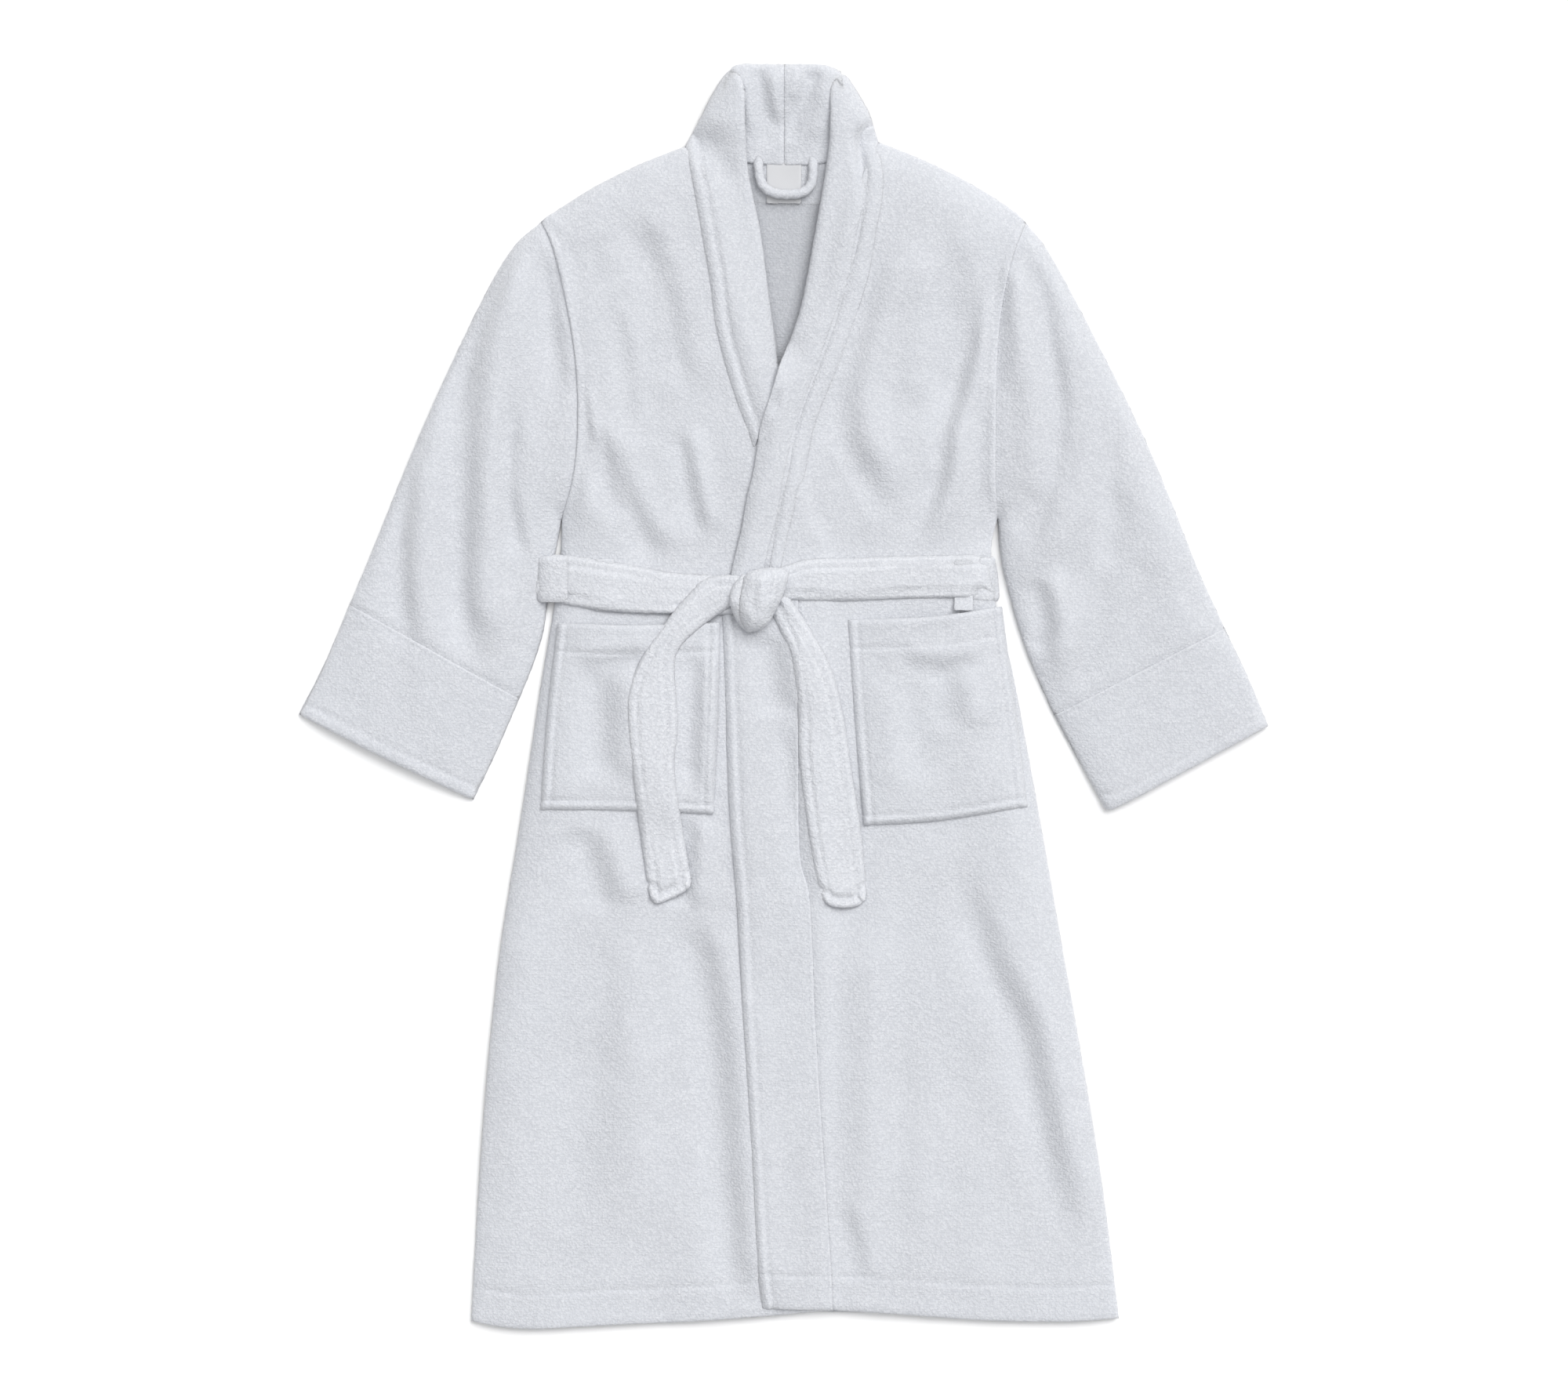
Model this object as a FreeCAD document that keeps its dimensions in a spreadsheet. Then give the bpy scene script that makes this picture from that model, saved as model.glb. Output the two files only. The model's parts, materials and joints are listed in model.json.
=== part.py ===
"""A terry bathrobe with a shawl collar, lying flat on its back with its belt tied.

Frame: the origin is under the middle of the robe, at the level it lies on. +Z points out of the
cloth, +Y towards the collar and +X towards the wearer's left arm. "left" and "right" in the names
are those of a person who looks down at the robe, so the right front is the one that laps over.
Every length is in millimetres. Cloth is drawn as plain slabs, hollow where an arm, a body or a
hand goes in, because the drape of the fabric is not part of the design model.
"""
import FreeCAD, Part

import math
import os

import Sketcher

doc = FreeCAD.newDocument("Bathrobe")
sheet = doc.addObject("Spreadsheet::Sheet", "Sizes")


# --- driving dimensions ---------------------------------------------------------------------

SIZES = {
    # levels along the robe, from the middle of its length
    "collar_top": 604,
    "neck_level": 528,
    "facing_level": 512,
    "facing_low": 469,
    "shoulder_level": 454,
    "underarm_level": 171,
    "belt_level": 113,
    "pocket_top": 75,
    "pocket_low": -112,
    "fold_top": -219,
    "hem_level": -604,
    # half widths of the body
    "collar_half": 49,
    "neck_half": 93,
    "shoulder_half": 231.5,
    "underarm_half": 206,
    "waist_half": 205,
    "hem_half": 311,
    "armhole_radius": 600,
    "side_radius": 4300,
    # sleeves and cuffs
    "sleeve_bend_half": 320,
    "sleeve_bend_level": 306,
    "sleeve_bend_radius": 620,
    "sleeve_inner_half": 219,
    "sleeve_inner_level": 84,
    "seam_outer_half": 417,
    "seam_outer_level": 78,
    "seam_inner_half": 258,
    "seam_inner_level": -8,
    "cuff_outer_half": 462,
    "cuff_outer_level": -25,
    "cuff_inner_half": 303,
    "cuff_inner_level": -104,
    # the lapping edge of the right front and its sewn-on band
    "lap_top_side": -57,
    "lap_low_side": -22,
    "lap_width_below": 67,
    "fold_foot_side": 150,
    "under_edge_side": 45,
    "band_top_level": 82,
    # the shawl collar
    "fold_neck_half": 40,
    "lapel_cross_side": -5,
    "lapel_cross_level": 322,
    "lapel_end_side": -33,
    "lapel_end_level": 250,
    "lapel_edge_radius": 1100,
    "lapel_turn_side": 30,
    "lapel_turn_level": 440,
    "lapel_belly_side": 25,
    "lapel_belly_level": 243,
    "lapel_belly_radius": 825,
    "lapel_foot_side": -45,
    "lapel_foot_width": 48,
    "shawl_radius": 190,
    # pockets
    "pocket_top_half": 211,
    "pocket_low_half": 232,
    "pocket_inner_top": 61,
    "pocket_inner_low": 71,
    "pocket_border": 8,
    # belt
    "belt_width": 44,
    "belt_thickness": 8,
    "belt_left_end": -236,
    "belt_right_end": 215,
    "knot_left": -41,
    "knot_right": 3,
    "knot_low": 61,
    "knot_high": 124,
    "knot_thickness": 34,
    "knot_round": 9,
    "tail_hinge_level": 25,
    "belt_loop_half": 170,
    "belt_loop_width": 19,
    "belt_loop_length": 60,
    # hanging loop and label
    "loop_half": 22,
    "loop_low": 480,
    "loop_end_level": 508,
    "loop_corner": 14,
    "loop_tube": 9,
    "label_half": 16.5,
    # cloth thicknesses and the levels of the layers above the floor
    "cloth": 5,
    "clearance": 0.5,
    "belt_hump": 11,
    "sleeve_height": 26,
    "under_front_top": 25,
    "over_front_top": 30.5,
    "collar_thickness": 6,
    "stand_height": 12,
    "pocket_height": 10,
    "pocket_cloth": 4,
    "strap_level": 33,
    "tail_level": 42,
    "trim": 2,
    "facing_thickness": 3,
}


class Size:
    """A number that remembers the spreadsheet formula it came from."""

    def __init__(self, value, formula):
        self.value = float(value)
        self.formula = formula

    def _join(self, other, sign, value):
        formula = other.formula if isinstance(other, Size) else repr(other)
        return Size(value, f"({self.formula} {sign} {formula})")

    def __add__(self, other):
        return self._join(other, "+", self.value + number(other))

    def __sub__(self, other):
        return self._join(other, "-", self.value - number(other))

    def __mul__(self, other):
        return self._join(other, "*", self.value * number(other))

    def __neg__(self):
        return self * -1


def number(size):
    return size.value if isinstance(size, Size) else float(size)


def fill_sheet():
    """Writes the driving dimensions into the spreadsheet and returns them by name."""
    sizes = {}
    for row, (name, value) in enumerate(SIZES.items(), start=1):
        sheet.set(f"A{row}", name)
        sheet.set(f"B{row}", str(value))
        sheet.setAlias(f"B{row}", name)
        sizes[name] = Size(value, f"Sizes.{name}")
    doc.recompute()
    return sizes


D = fill_sheet()


# --- modelling helpers ----------------------------------------------------------------------

def new_body(name):
    body = doc.addObject("PartDesign::Body", name)
    body.Label = name
    return body


def origin_plane(body, role):
    return next(item for item in body.Origin.OriginFeatures if item.Role == role)


def new_sketch(body, name, level, role="XY_Plane"):
    """A sketch on one of the body's own planes, lifted off it by level."""
    sketch = body.newObject("Sketcher::SketchObject", name)
    sketch.AttachmentSupport = [(origin_plane(body, role), "")]
    sketch.MapMode = "FlatFace"
    if isinstance(level, Size):
        sketch.AttachmentOffset.Base.z = level.value
        sketch.setExpression("AttachmentOffset.Base.z", level.formula)
    return sketch


def arc_middle(start, end, radius, side):
    """The middle of the arc from start to end that bulges to the left (side 1) or right (-1)."""
    chord = end - start
    sagitta = radius - math.sqrt(radius ** 2 - (chord.Length / 2) ** 2)
    across = FreeCAD.Vector(-chord.y, chord.x, 0).normalize()
    return (start + end) * 0.5 + across * (side * sagitta)


def draw_path(sketch, points, arcs, closed):
    """Draws edges through the points and ties each point to its formulas."""
    vectors = [FreeCAD.Vector(number(x), number(y), 0) for x, y in points]
    count = len(vectors) if closed else len(vectors) - 1
    joints = []
    for index in range(count):
        start, end = vectors[index], vectors[(index + 1) % len(vectors)]
        if index in arcs:
            radius, side = arcs[index]
            middle = arc_middle(start, end, number(radius), side)
            sketch.addGeometry(Part.Arc(start, middle, end), False)
            # a sketch stores every arc anticlockwise, so one that bulges left runs end to start
            joints.append((2, 1) if side > 0 else (1, 2))
        else:
            sketch.addGeometry(Part.LineSegment(start, end), False)
            joints.append((1, 2))
    constraints = []
    for index in range(count if closed else count - 1):
        following = (index + 1) % count
        constraints.append(
            Sketcher.Constraint("Coincident", index, joints[index][1], following, joints[following][0])
        )
    sketch.addConstraint(constraints)
    for index, (x, y) in enumerate(points):
        edge = min(index, count - 1)
        end = joints[edge][0] if index < count else joints[edge][1]
        tie(sketch, "DistanceX", (edge, end), x)
        tie(sketch, "DistanceY", (edge, end), y)
    for index, (radius, _side) in arcs.items():
        tie(sketch, "Radius", (index,), radius)


def tie(sketch, kind, where, size):
    row = sketch.addConstraint(Sketcher.Constraint(kind, *where, number(size)))
    if isinstance(size, Size):
        sketch.setExpression(f"Constraints[{row}]", size.formula)


def set_size(feature, prop, size):
    setattr(feature, prop, number(size))
    if isinstance(size, Size):
        feature.setExpression(prop, size.formula)


def pad(body, name, points, low, high, arcs=None):
    """Adds the outline to the body from level low up to level high."""
    sketch = new_sketch(body, name + "_outline", low)
    draw_path(sketch, points, arcs or {}, closed=True)
    feature = body.newObject("PartDesign::Pad", name)
    feature.Profile = sketch
    set_size(feature, "Length", high - low)
    sketch.Visibility = False
    return feature


def hollow(body, name, points, low, high, arcs=None):
    """Cuts the outline out of the body between the two levels, and checks that it cut."""
    doc.recompute()
    before = body.Shape.Volume
    sketch = new_sketch(body, name + "_outline", high)
    draw_path(sketch, points, arcs or {}, closed=True)
    feature = body.newObject("PartDesign::Pocket", name)
    feature.Profile = sketch
    set_size(feature, "Length", high - low)
    doc.recompute()
    if not body.Shape.Volume < before - 1:
        raise RuntimeError(f"{name} removed nothing from {body.Label}")
    return feature


def slab(name, points, low, high, arcs=None):
    body = new_body(name)
    pad(body, name + "_pad", points, low, high, arcs)
    return body


def mirrored(points, side):
    """Points given for the +X side, moved to the side asked for."""
    return [(x * side, y) for x, y in points]


def turned(arcs, side):
    return {index: (radius, bulge * side) for index, (radius, bulge) in arcs.items()}


def box_points(x_low, x_high, y_low, y_high):
    return [(x_low, y_low), (x_high, y_low), (x_high, y_high), (x_low, y_high)]


# --- the body of the robe -------------------------------------------------------------------

BELT_LOW = D["belt_level"] - D["belt_width"] * 0.5
BELT_HIGH = D["belt_level"] + D["belt_width"] * 0.5
WAIST_LOW = BELT_LOW - 3
BACK_RAMP = 18  # length of the slope by which the back climbs over the belt
FLOOR = D["cloth"] * 0
HEM_PAST = D["hem_level"] - 10


def side_edge():
    """Shoulder, armhole, waist and hem corners of one side, from neck to hem, on the +X side."""
    return [
        (D["neck_half"], D["neck_level"]),
        (D["shoulder_half"], D["shoulder_level"]),
        (D["underarm_half"], D["underarm_level"]),
        (D["waist_half"], WAIST_LOW),
        (D["hem_half"], D["hem_level"]),
    ]


def build_back_panel():
    """The back, which lies on the floor and rises over the belt that runs under it."""
    right = side_edge()
    left = mirrored(right, -1)
    points = right + list(reversed(left))
    arcs = {1: (D["armhole_radius"], -1), 3: (D["side_radius"], 1),
            5: (D["side_radius"], 1), 7: (D["armhole_radius"], -1)}
    body = slab("back_panel", points, FLOOR, D["belt_hump"], arcs)
    ramp = BACK_RAMP
    gap = D["clearance"]
    strip = D["cloth"] + gap
    cut_side_profile(body, "above_skirt", [
        (HEM_PAST, D["cloth"]),
        (BELT_LOW - ramp, D["cloth"]),
        (BELT_LOW - gap, D["belt_hump"]),
        (BELT_LOW - gap, D["belt_hump"] + 1),
        (HEM_PAST, D["belt_hump"] + 1),
    ])
    cut_side_profile(body, "above_chest", [
        (BELT_HIGH + ramp, D["cloth"]),
        (D["neck_level"] + 10, D["cloth"]),
        (D["neck_level"] + 10, D["belt_hump"] + 1),
        (BELT_HIGH + gap, D["belt_hump"] + 1),
        (BELT_HIGH + gap, D["belt_hump"]),
    ])
    cut_side_profile(body, "belt_tunnel", [
        (BELT_LOW - ramp, -D["trim"]),
        (BELT_HIGH + ramp, -D["trim"]),
        (BELT_HIGH + ramp, -D["trim"] + 1),
        (BELT_HIGH + 1, strip),
        (BELT_LOW - 1, strip),
        (BELT_LOW - ramp, -D["trim"] + 1),
    ])
    return body


def cut_side_profile(body, name, points):
    """Cuts a profile given as (along the robe, height) right across the body."""
    doc.recompute()
    before = body.Shape.Volume
    sketch = new_sketch(body, name + "_profile", None, "YZ_Plane")
    draw_path(sketch, points, {}, closed=True)
    feature = body.newObject("PartDesign::Pocket", name)
    feature.Profile = sketch
    feature.Midplane = True
    set_size(feature, "Length", D["hem_half"] * 3)
    doc.recompute()
    if not body.Shape.Volume < before - 1:
        raise RuntimeError(f"{name} removed nothing from {body.Label}")


def front_hollow(side):
    """The space behind a front: inside the side and shoulder seams, open at armhole and hem."""
    wall = D["cloth"] + 1
    return mirrored([
        (-D["under_edge_side"] * 2, D["neck_level"] + 30),
        (D["neck_half"] - wall, D["neck_level"] - wall),
        (D["shoulder_half"] - wall, D["shoulder_level"] - wall),
        (D["shoulder_half"] + 10, D["shoulder_level"] - wall * 2),
        (D["shoulder_half"] + 10, D["underarm_level"] + wall),
        (D["waist_half"] - wall, D["underarm_level"] + wall),
        (D["waist_half"] - wall, WAIST_LOW),
        (D["hem_half"] - wall, HEM_PAST),
        (-D["under_edge_side"] * 2, HEM_PAST),
    ], side)


def clear_belt_rise(body, name):
    """Lifts the side seam of a front over the ridge that the belt makes in the back."""
    reach = D["hem_half"]
    ridge = box_points(-reach, reach, BELT_LOW - BACK_RAMP, BELT_HIGH + BACK_RAMP)
    hollow(body, name, ridge, D["cloth"], D["belt_hump"])


def build_under_front():
    """The left front, which laps under the right one as far as its own free edge."""
    outline = mirrored(side_edge(), -1) + [
        (D["under_edge_side"], D["hem_level"]),
        (D["under_edge_side"], D["knot_low"]),
        (D["lapel_belly_side"] * 0.2, D["lapel_end_level"]),
        (D["lapel_cross_side"] * 5, D["lapel_turn_level"] - 20),
    ]
    arcs = {1: (D["armhole_radius"], 1), 3: (D["side_radius"], -1)}
    body = slab("front_panel_left", outline, D["cloth"], D["under_front_top"], arcs)
    roof = D["under_front_top"] - D["cloth"]
    hollow(body, "left_body_space", front_hollow(-1), D["cloth"], roof, {6: (D["side_radius"], -1)})
    clear_belt_rise(body, "left_belt_rise")
    return body


def fold_point(share):
    """A point on the line along which the lower corner of the right front folds open."""
    top_side = fold_top_side()
    return (
        top_side + (D["fold_foot_side"] - top_side) * share,
        D["fold_top"] + (D["hem_level"] - D["fold_top"]) * share,
    )


def fold_top_side():
    share = (number(D["band_top_level"]) - number(D["fold_top"])) / (
        number(D["band_top_level"]) - number(D["hem_level"]))
    return D["lap_top_side"] + (D["lap_low_side"] - D["lap_top_side"]) * share


BAND_CROSS_SHARE = 0.41


def build_over_front():
    """The right front from its band seam to the side seam, without the corner that folds."""
    seam_top = (D["lap_top_side"] + D["lap_width_below"], D["band_top_level"])
    fold = D["clearance"]
    cross_x, cross_y = fold_point(BAND_CROSS_SHARE)
    outline = side_edge() + [
        (D["fold_foot_side"] + fold, D["hem_level"]),
        (cross_x + fold, cross_y),
        seam_top,
        (D["lap_top_side"], D["band_top_level"]),
        (D["lapel_foot_side"] + 3, BELT_HIGH),
        (D["lapel_belly_side"] * 0.2, D["lapel_cross_level"] - 40),
        (D["lapel_turn_side"] + 20, D["lapel_turn_level"]),
    ]
    arcs = {1: (D["armhole_radius"], -1), 3: (D["side_radius"], 1)}
    body = slab("front_panel_right", outline, D["cloth"], D["over_front_top"], arcs)
    roof = D["over_front_top"] - D["cloth"]
    hollow(body, "right_body_space", front_hollow(1), D["cloth"], roof, {6: (D["side_radius"], 1)})
    clear_belt_rise(body, "right_belt_rise")
    return body


def build_front_band():
    """The doubled strip along the lapping edge, above the fold line of the corner."""
    cross_x, cross_y = fold_point(BAND_CROSS_SHARE)
    low = D["over_front_top"] - D["cloth"]
    gap = D["clearance"]
    outline = [
        (D["lap_top_side"], D["band_top_level"] - gap),
        (fold_top_side(), D["fold_top"] + gap),
        (cross_x, cross_y + gap),
        (D["lap_top_side"] + D["lap_width_below"] - gap, D["band_top_level"] - gap),
    ]
    return slab("front_band", outline, low, D["over_front_top"])


def build_corner():
    """The lower corner of the right front, in its two pieces of cloth."""
    cross_x, cross_y = fold_point(BAND_CROSS_SHARE)
    low = D["over_front_top"] - D["cloth"]
    gap = D["clearance"]
    seam_foot = D["lap_low_side"] + D["lap_width_below"]
    slab("front_band_corner", [
        (fold_top_side(), D["fold_top"] - gap),
        (D["lap_low_side"], D["hem_level"]),
        (seam_foot, D["hem_level"]),
        (cross_x - gap, cross_y - gap),
    ], low, D["over_front_top"])
    slab("front_panel_corner", [
        (cross_x - gap, cross_y - gap),
        (seam_foot, D["hem_level"]),
        (D["fold_foot_side"] - gap, D["hem_level"]),
    ], low, D["over_front_top"])


# --- sleeves --------------------------------------------------------------------------------

def build_sleeve(side, name):
    """A flattened tube from the armhole to the cuff seam, open at both ends."""
    wall = D["cloth"] + 1
    gap = D["clearance"]
    outline = mirrored([
        (D["shoulder_half"] + gap, D["shoulder_level"]),
        (D["sleeve_bend_half"], D["sleeve_bend_level"]),
        (D["seam_outer_half"], D["seam_outer_level"]),
        (D["seam_inner_half"], D["seam_inner_level"]),
        (D["sleeve_inner_half"], D["sleeve_inner_level"]),
        (D["sleeve_inner_half"], BELT_HIGH + 4),
        (D["underarm_half"] + gap, D["underarm_level"]),
    ], side)
    arcs = turned({0: (D["sleeve_bend_radius"], 1), 6: (D["armhole_radius"], 1)}, side)
    body = slab("sleeve_" + name, outline, FLOOR, D["sleeve_height"], arcs)
    tube = mirrored([
        (D["shoulder_half"] - wall, D["shoulder_level"] - wall * 4),
        (D["shoulder_half"] + wall, D["shoulder_level"] - wall * 4),
        (D["sleeve_bend_half"] - wall, D["sleeve_bend_level"] - wall * 0.5),
        (D["seam_outer_half"] - wall, D["seam_outer_level"] - wall * 0.5),
        (D["seam_outer_half"] - wall, D["seam_outer_level"] - wall * 4),
        (D["seam_inner_half"] + wall, D["seam_inner_level"] - wall * 4),
        (D["seam_inner_half"] + wall, D["seam_inner_level"] + wall * 0.4),
        (D["sleeve_inner_half"] + wall, D["sleeve_inner_level"] + wall * 0.4),
        (D["sleeve_inner_half"] + wall, BELT_HIGH + 4),
        (D["underarm_half"] + wall, D["underarm_level"] + wall),
        (D["waist_half"] - wall * 4, D["underarm_level"] + wall),
    ], side)
    hollow(body, "arm_space_" + name, tube, D["cloth"], D["sleeve_height"] - D["cloth"])
    return body


def build_cuff(side, name):
    """The separate band sewn round the end of the sleeve."""
    outline = mirrored([
        (D["seam_outer_half"] + 0, D["seam_outer_level"] + 0),
        (D["cuff_outer_half"], D["cuff_outer_level"]),
        (D["cuff_inner_half"], D["cuff_inner_level"]),
        (D["seam_inner_half"] + 0, D["seam_inner_level"] + 0),
    ], side)
    body = slab("cuff_" + name, outline, FLOOR, D["sleeve_height"])
    wall = D["cloth"] + 1
    mouth = mirrored([
        (D["seam_outer_half"] - wall * 4, D["seam_outer_level"] + wall * 4),
        (D["seam_outer_half"] - wall, D["seam_outer_level"] - wall * 0.5),
        (D["cuff_outer_half"] - wall, D["cuff_outer_level"] - wall * 0.5),
        (D["cuff_outer_half"] - wall, D["cuff_outer_level"] - wall * 6),
        (D["cuff_inner_half"] + wall * 2, D["cuff_inner_level"] - wall * 2),
        (D["cuff_inner_half"] + wall, D["cuff_inner_level"] + wall * 0.4),
        (D["seam_inner_half"] + wall, D["seam_inner_level"] + wall * 0.4),
        (D["seam_inner_half"] + wall, D["seam_inner_level"] + wall * 4),
    ], side)
    hollow(body, "wrist_space_" + name, mouth, D["cloth"], D["sleeve_height"] - D["cloth"])
    return body


# --- collar, neck facing and hanging loop ---------------------------------------------------

def build_collar_left():
    """The half of the shawl collar that lies under the other one at the crossing."""
    gap = D["clearance"]
    body = new_body("collar_left")
    low = D["under_front_top"]
    lapel = [
        (-D["neck_half"], D["neck_level"] + gap),
        (D["lapel_end_side"], D["lapel_end_level"]),
        (D["lapel_cross_side"], D["lapel_cross_level"]),
        (-D["fold_neck_half"], D["neck_level"] + gap),
    ]
    pad(body, "lapel_left", lapel, low, low + D["collar_thickness"], {0: (D["lapel_edge_radius"], -1)})
    add_neck_roll(body, "left", -1, low + D["collar_thickness"])
    return body


def build_collar_right():
    """The half of the shawl collar that crosses over and runs down to the belt."""
    gap = D["clearance"]
    body = new_body("collar_right")
    low = D["over_front_top"]
    lapel = [
        (D["neck_half"], D["neck_level"] + gap),
        (D["fold_neck_half"], D["neck_level"] + gap),
        (D["lapel_turn_side"], D["lapel_turn_level"]),
        (D["lapel_foot_side"], BELT_HIGH + 2),
        (D["lapel_foot_side"] + D["lapel_foot_width"], BELT_HIGH + 2),
        (D["lapel_belly_side"], D["lapel_belly_level"]),
    ]
    pad(body, "lapel_right", lapel, low, low + D["collar_thickness"], {5: (D["lapel_belly_radius"], -1)})
    add_neck_roll(body, "right", 1, low + D["collar_thickness"])
    return body


def add_neck_roll(body, name, side, top):
    """The part round the neck: high beside the neck, low across the middle of the back."""
    gap = D["clearance"]
    beside = mirrored([
        (D["fold_neck_half"], D["neck_level"] + gap),
        (D["neck_half"], D["neck_level"] + gap),
        (D["collar_half"], D["collar_top"]),
        (D["fold_neck_half"], D["collar_top"]),
    ], side)
    pad(body, "neck_roll_" + name, beside, FLOOR, top, turned({1: (D["shawl_radius"], -1)}, side))
    across = mirrored([
        (D["clearance"] * 0.5, D["facing_level"] + 2),
        (D["fold_neck_half"], D["facing_level"] + 2),
        (D["fold_neck_half"], D["collar_top"]),
        (D["clearance"] * 0.5, D["collar_top"]),
    ], side)
    pad(body, "neck_stand_" + name, across, D["cloth"] + gap, D["stand_height"])


def build_neck_trim():
    """The facing that covers the back neck seam and the blank label sewn on it."""
    facing_top = D["cloth"] + D["facing_thickness"]
    half = D["fold_neck_half"] + 6
    facing = box_points(-half, half, D["facing_low"], D["facing_level"] - 1)
    slab("back_neck_facing", facing, D["cloth"], facing_top)
    label = box_points(-D["label_half"], D["label_half"], D["facing_low"] + 3, D["facing_level"] - 2)
    slab("label", label, facing_top, facing_top + D["trim"] * 0.5)


def build_hanging_loop():
    """A cord of rolled terry bent into a U, its two ends sewn into the neck seam."""
    body = new_body("hanging_loop")
    level = D["cloth"] + D["facing_thickness"] + D["trim"] + D["loop_tube"] * 0.5
    half, corner = D["loop_half"], D["loop_corner"]
    route = [
        (-half, D["loop_end_level"]),
        (-half, D["loop_low"] + corner),
        (-half + corner, D["loop_low"]),
        (half - corner, D["loop_low"]),
        (half, D["loop_low"] + corner),
        (half, D["loop_end_level"]),
    ]
    path = new_sketch(body, "loop_path", level)
    draw_path(path, route, {1: (corner, -1), 3: (corner, -1)}, closed=False)
    section = new_sketch(body, "loop_section", -D["loop_end_level"], "XZ_Plane")
    section.addGeometry(Part.Circle(FreeCAD.Vector(-half.value, level.value, 0), FreeCAD.Vector(0, 0, 1),
                                    D["loop_tube"].value / 2), False)
    tie(section, "DistanceX", (0, 3), -half)
    tie(section, "DistanceY", (0, 3), level)
    tie(section, "Radius", (0,), D["loop_tube"] * 0.5)
    pipe = body.newObject("PartDesign::AdditivePipe", "loop_pipe")
    pipe.Profile = section
    pipe.Spine = path
    return body


# --- pockets --------------------------------------------------------------------------------

def build_pocket(side, name, front_top):
    """A patch pocket: sewn down on three sides, open at the top, loose over the front."""
    border = D["pocket_border"]
    outline = mirrored([
        (D["pocket_inner_top"], D["pocket_top"]),
        (D["pocket_inner_low"], D["pocket_low"]),
        (D["pocket_low_half"], D["pocket_low"] + 4),
        (D["pocket_top_half"], D["pocket_top"]),
    ], side)
    body = slab("pocket_" + name, outline, front_top, front_top + D["pocket_height"])
    space = mirrored([
        (D["pocket_inner_top"] + border, D["pocket_top"] + 10),
        (D["pocket_inner_low"] + border, D["pocket_low"] + border),
        (D["pocket_low_half"] - border, D["pocket_low"] + border),
        (D["pocket_top_half"] - border, D["pocket_top"] + 10),
    ], side)
    roof = front_top + D["pocket_height"] - D["pocket_cloth"]
    hollow(body, "hand_space_" + name, space, front_top, roof)
    return body


# --- belt -----------------------------------------------------------------------------------

def build_belt():
    """The tied belt: a run behind the back, a strap each side of the knot, knot and two tails."""
    build_belt_back()
    strap_top = D["strap_level"] + D["belt_thickness"]
    left = box_points(D["belt_left_end"], D["knot_left"], BELT_LOW, BELT_HIGH)
    slab("belt_strap_left", left, D["strap_level"], strap_top)
    right = box_points(D["knot_right"], D["belt_right_end"], BELT_LOW, BELT_HIGH)
    slab("belt_strap_right", right, D["strap_level"], strap_top)
    build_knot()
    build_tails()


def build_belt_back():
    """The run behind the waist, turned up at both sides to meet the straps."""
    outer = D["belt_right_end"] + 1
    body = slab("belt_back", box_points(-outer, outer, BELT_LOW, BELT_HIGH), FLOOR, D["strap_level"])
    inner = D["waist_half"] + 1
    inside = box_points(-inner, inner, BELT_LOW - 5, BELT_HIGH + 5)
    hollow(body, "belt_body_space", inside, D["cloth"], D["strap_level"])


def build_knot():
    """The knot and the short start of each tail above the line where it can lift."""
    body = new_body("belt_knot")
    left, right, low, high = D["knot_left"], D["knot_right"], D["knot_low"], D["knot_high"]
    bottom = D["over_front_top"] + D["clearance"]
    block = pad(body, "knot_block", [
        (left, high - 10), (left, low + 24), (left + 9, low), (right - 10, low + 6),
        (right, low + 24), (right, high - 6), (left + 14, high),
    ], bottom, bottom + D["knot_thickness"])
    doc.recompute()
    top = (bottom + D["knot_thickness"]).value
    rim = [f"Edge{number_}" for number_, edge in enumerate(block.Shape.Edges, start=1)
           if edge.BoundBox.ZMin > top - 0.01]
    rounding = body.newObject("PartDesign::Fillet", "knot_rounding")
    rounding.Base = (block, rim)
    set_size(rounding, "Radius", D["knot_round"])
    start, level, hinge = D["tail_level"], D["tail_level"] + D["belt_thickness"], D["tail_hinge_level"]
    pad(body, "tail_start_left", [
        (left + 1, high - 10), (left - 50, high - 33), (left - 84, high - 81), (left - 100, hinge),
        (left - 62, hinge), (left - 60, low - 25), (left - 45, low), (left + 1, low + 22),
    ], start, level)
    pad(body, "tail_start_right", [
        (right - 14, low + 8), (right + 5, low - 23), (right + 10, hinge), (right + 42, hinge),
        (right + 25, low), (right + 5, low + 26), (right - 12, low + 30),
    ], start, level)
    return body


def build_tails():
    """The two hanging ends, free to lift about the line below the knot."""
    low, high = D["tail_level"], D["tail_level"] + D["belt_thickness"]
    left, right = D["knot_left"], D["knot_right"]
    top = D["tail_hinge_level"] - D["clearance"]
    tip = D["fold_top"] + 15
    slab("belt_tail_left", [
        (left - 100, top), (left - 107, top - 45), (left - 101, top - 107), (left - 87, tip + 14),
        (left - 78, tip + 7), (left - 47, tip + 25), (left - 56, tip + 80), (left - 62, top - 93),
        (left - 59, top - 50), (left - 62, top),
    ], low, high)
    slab("belt_tail_right", [
        (right + 10, top), (right + 11, top - 79), (right + 16, top - 134), (right + 28, tip + 38),
        (right + 36, tip + 3), (right + 71, tip), (right + 73, tip + 17), (right + 70, tip + 80),
        (right + 61, top - 93), (right + 53, top - 45), (right + 42, top),
    ], low, high)


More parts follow.
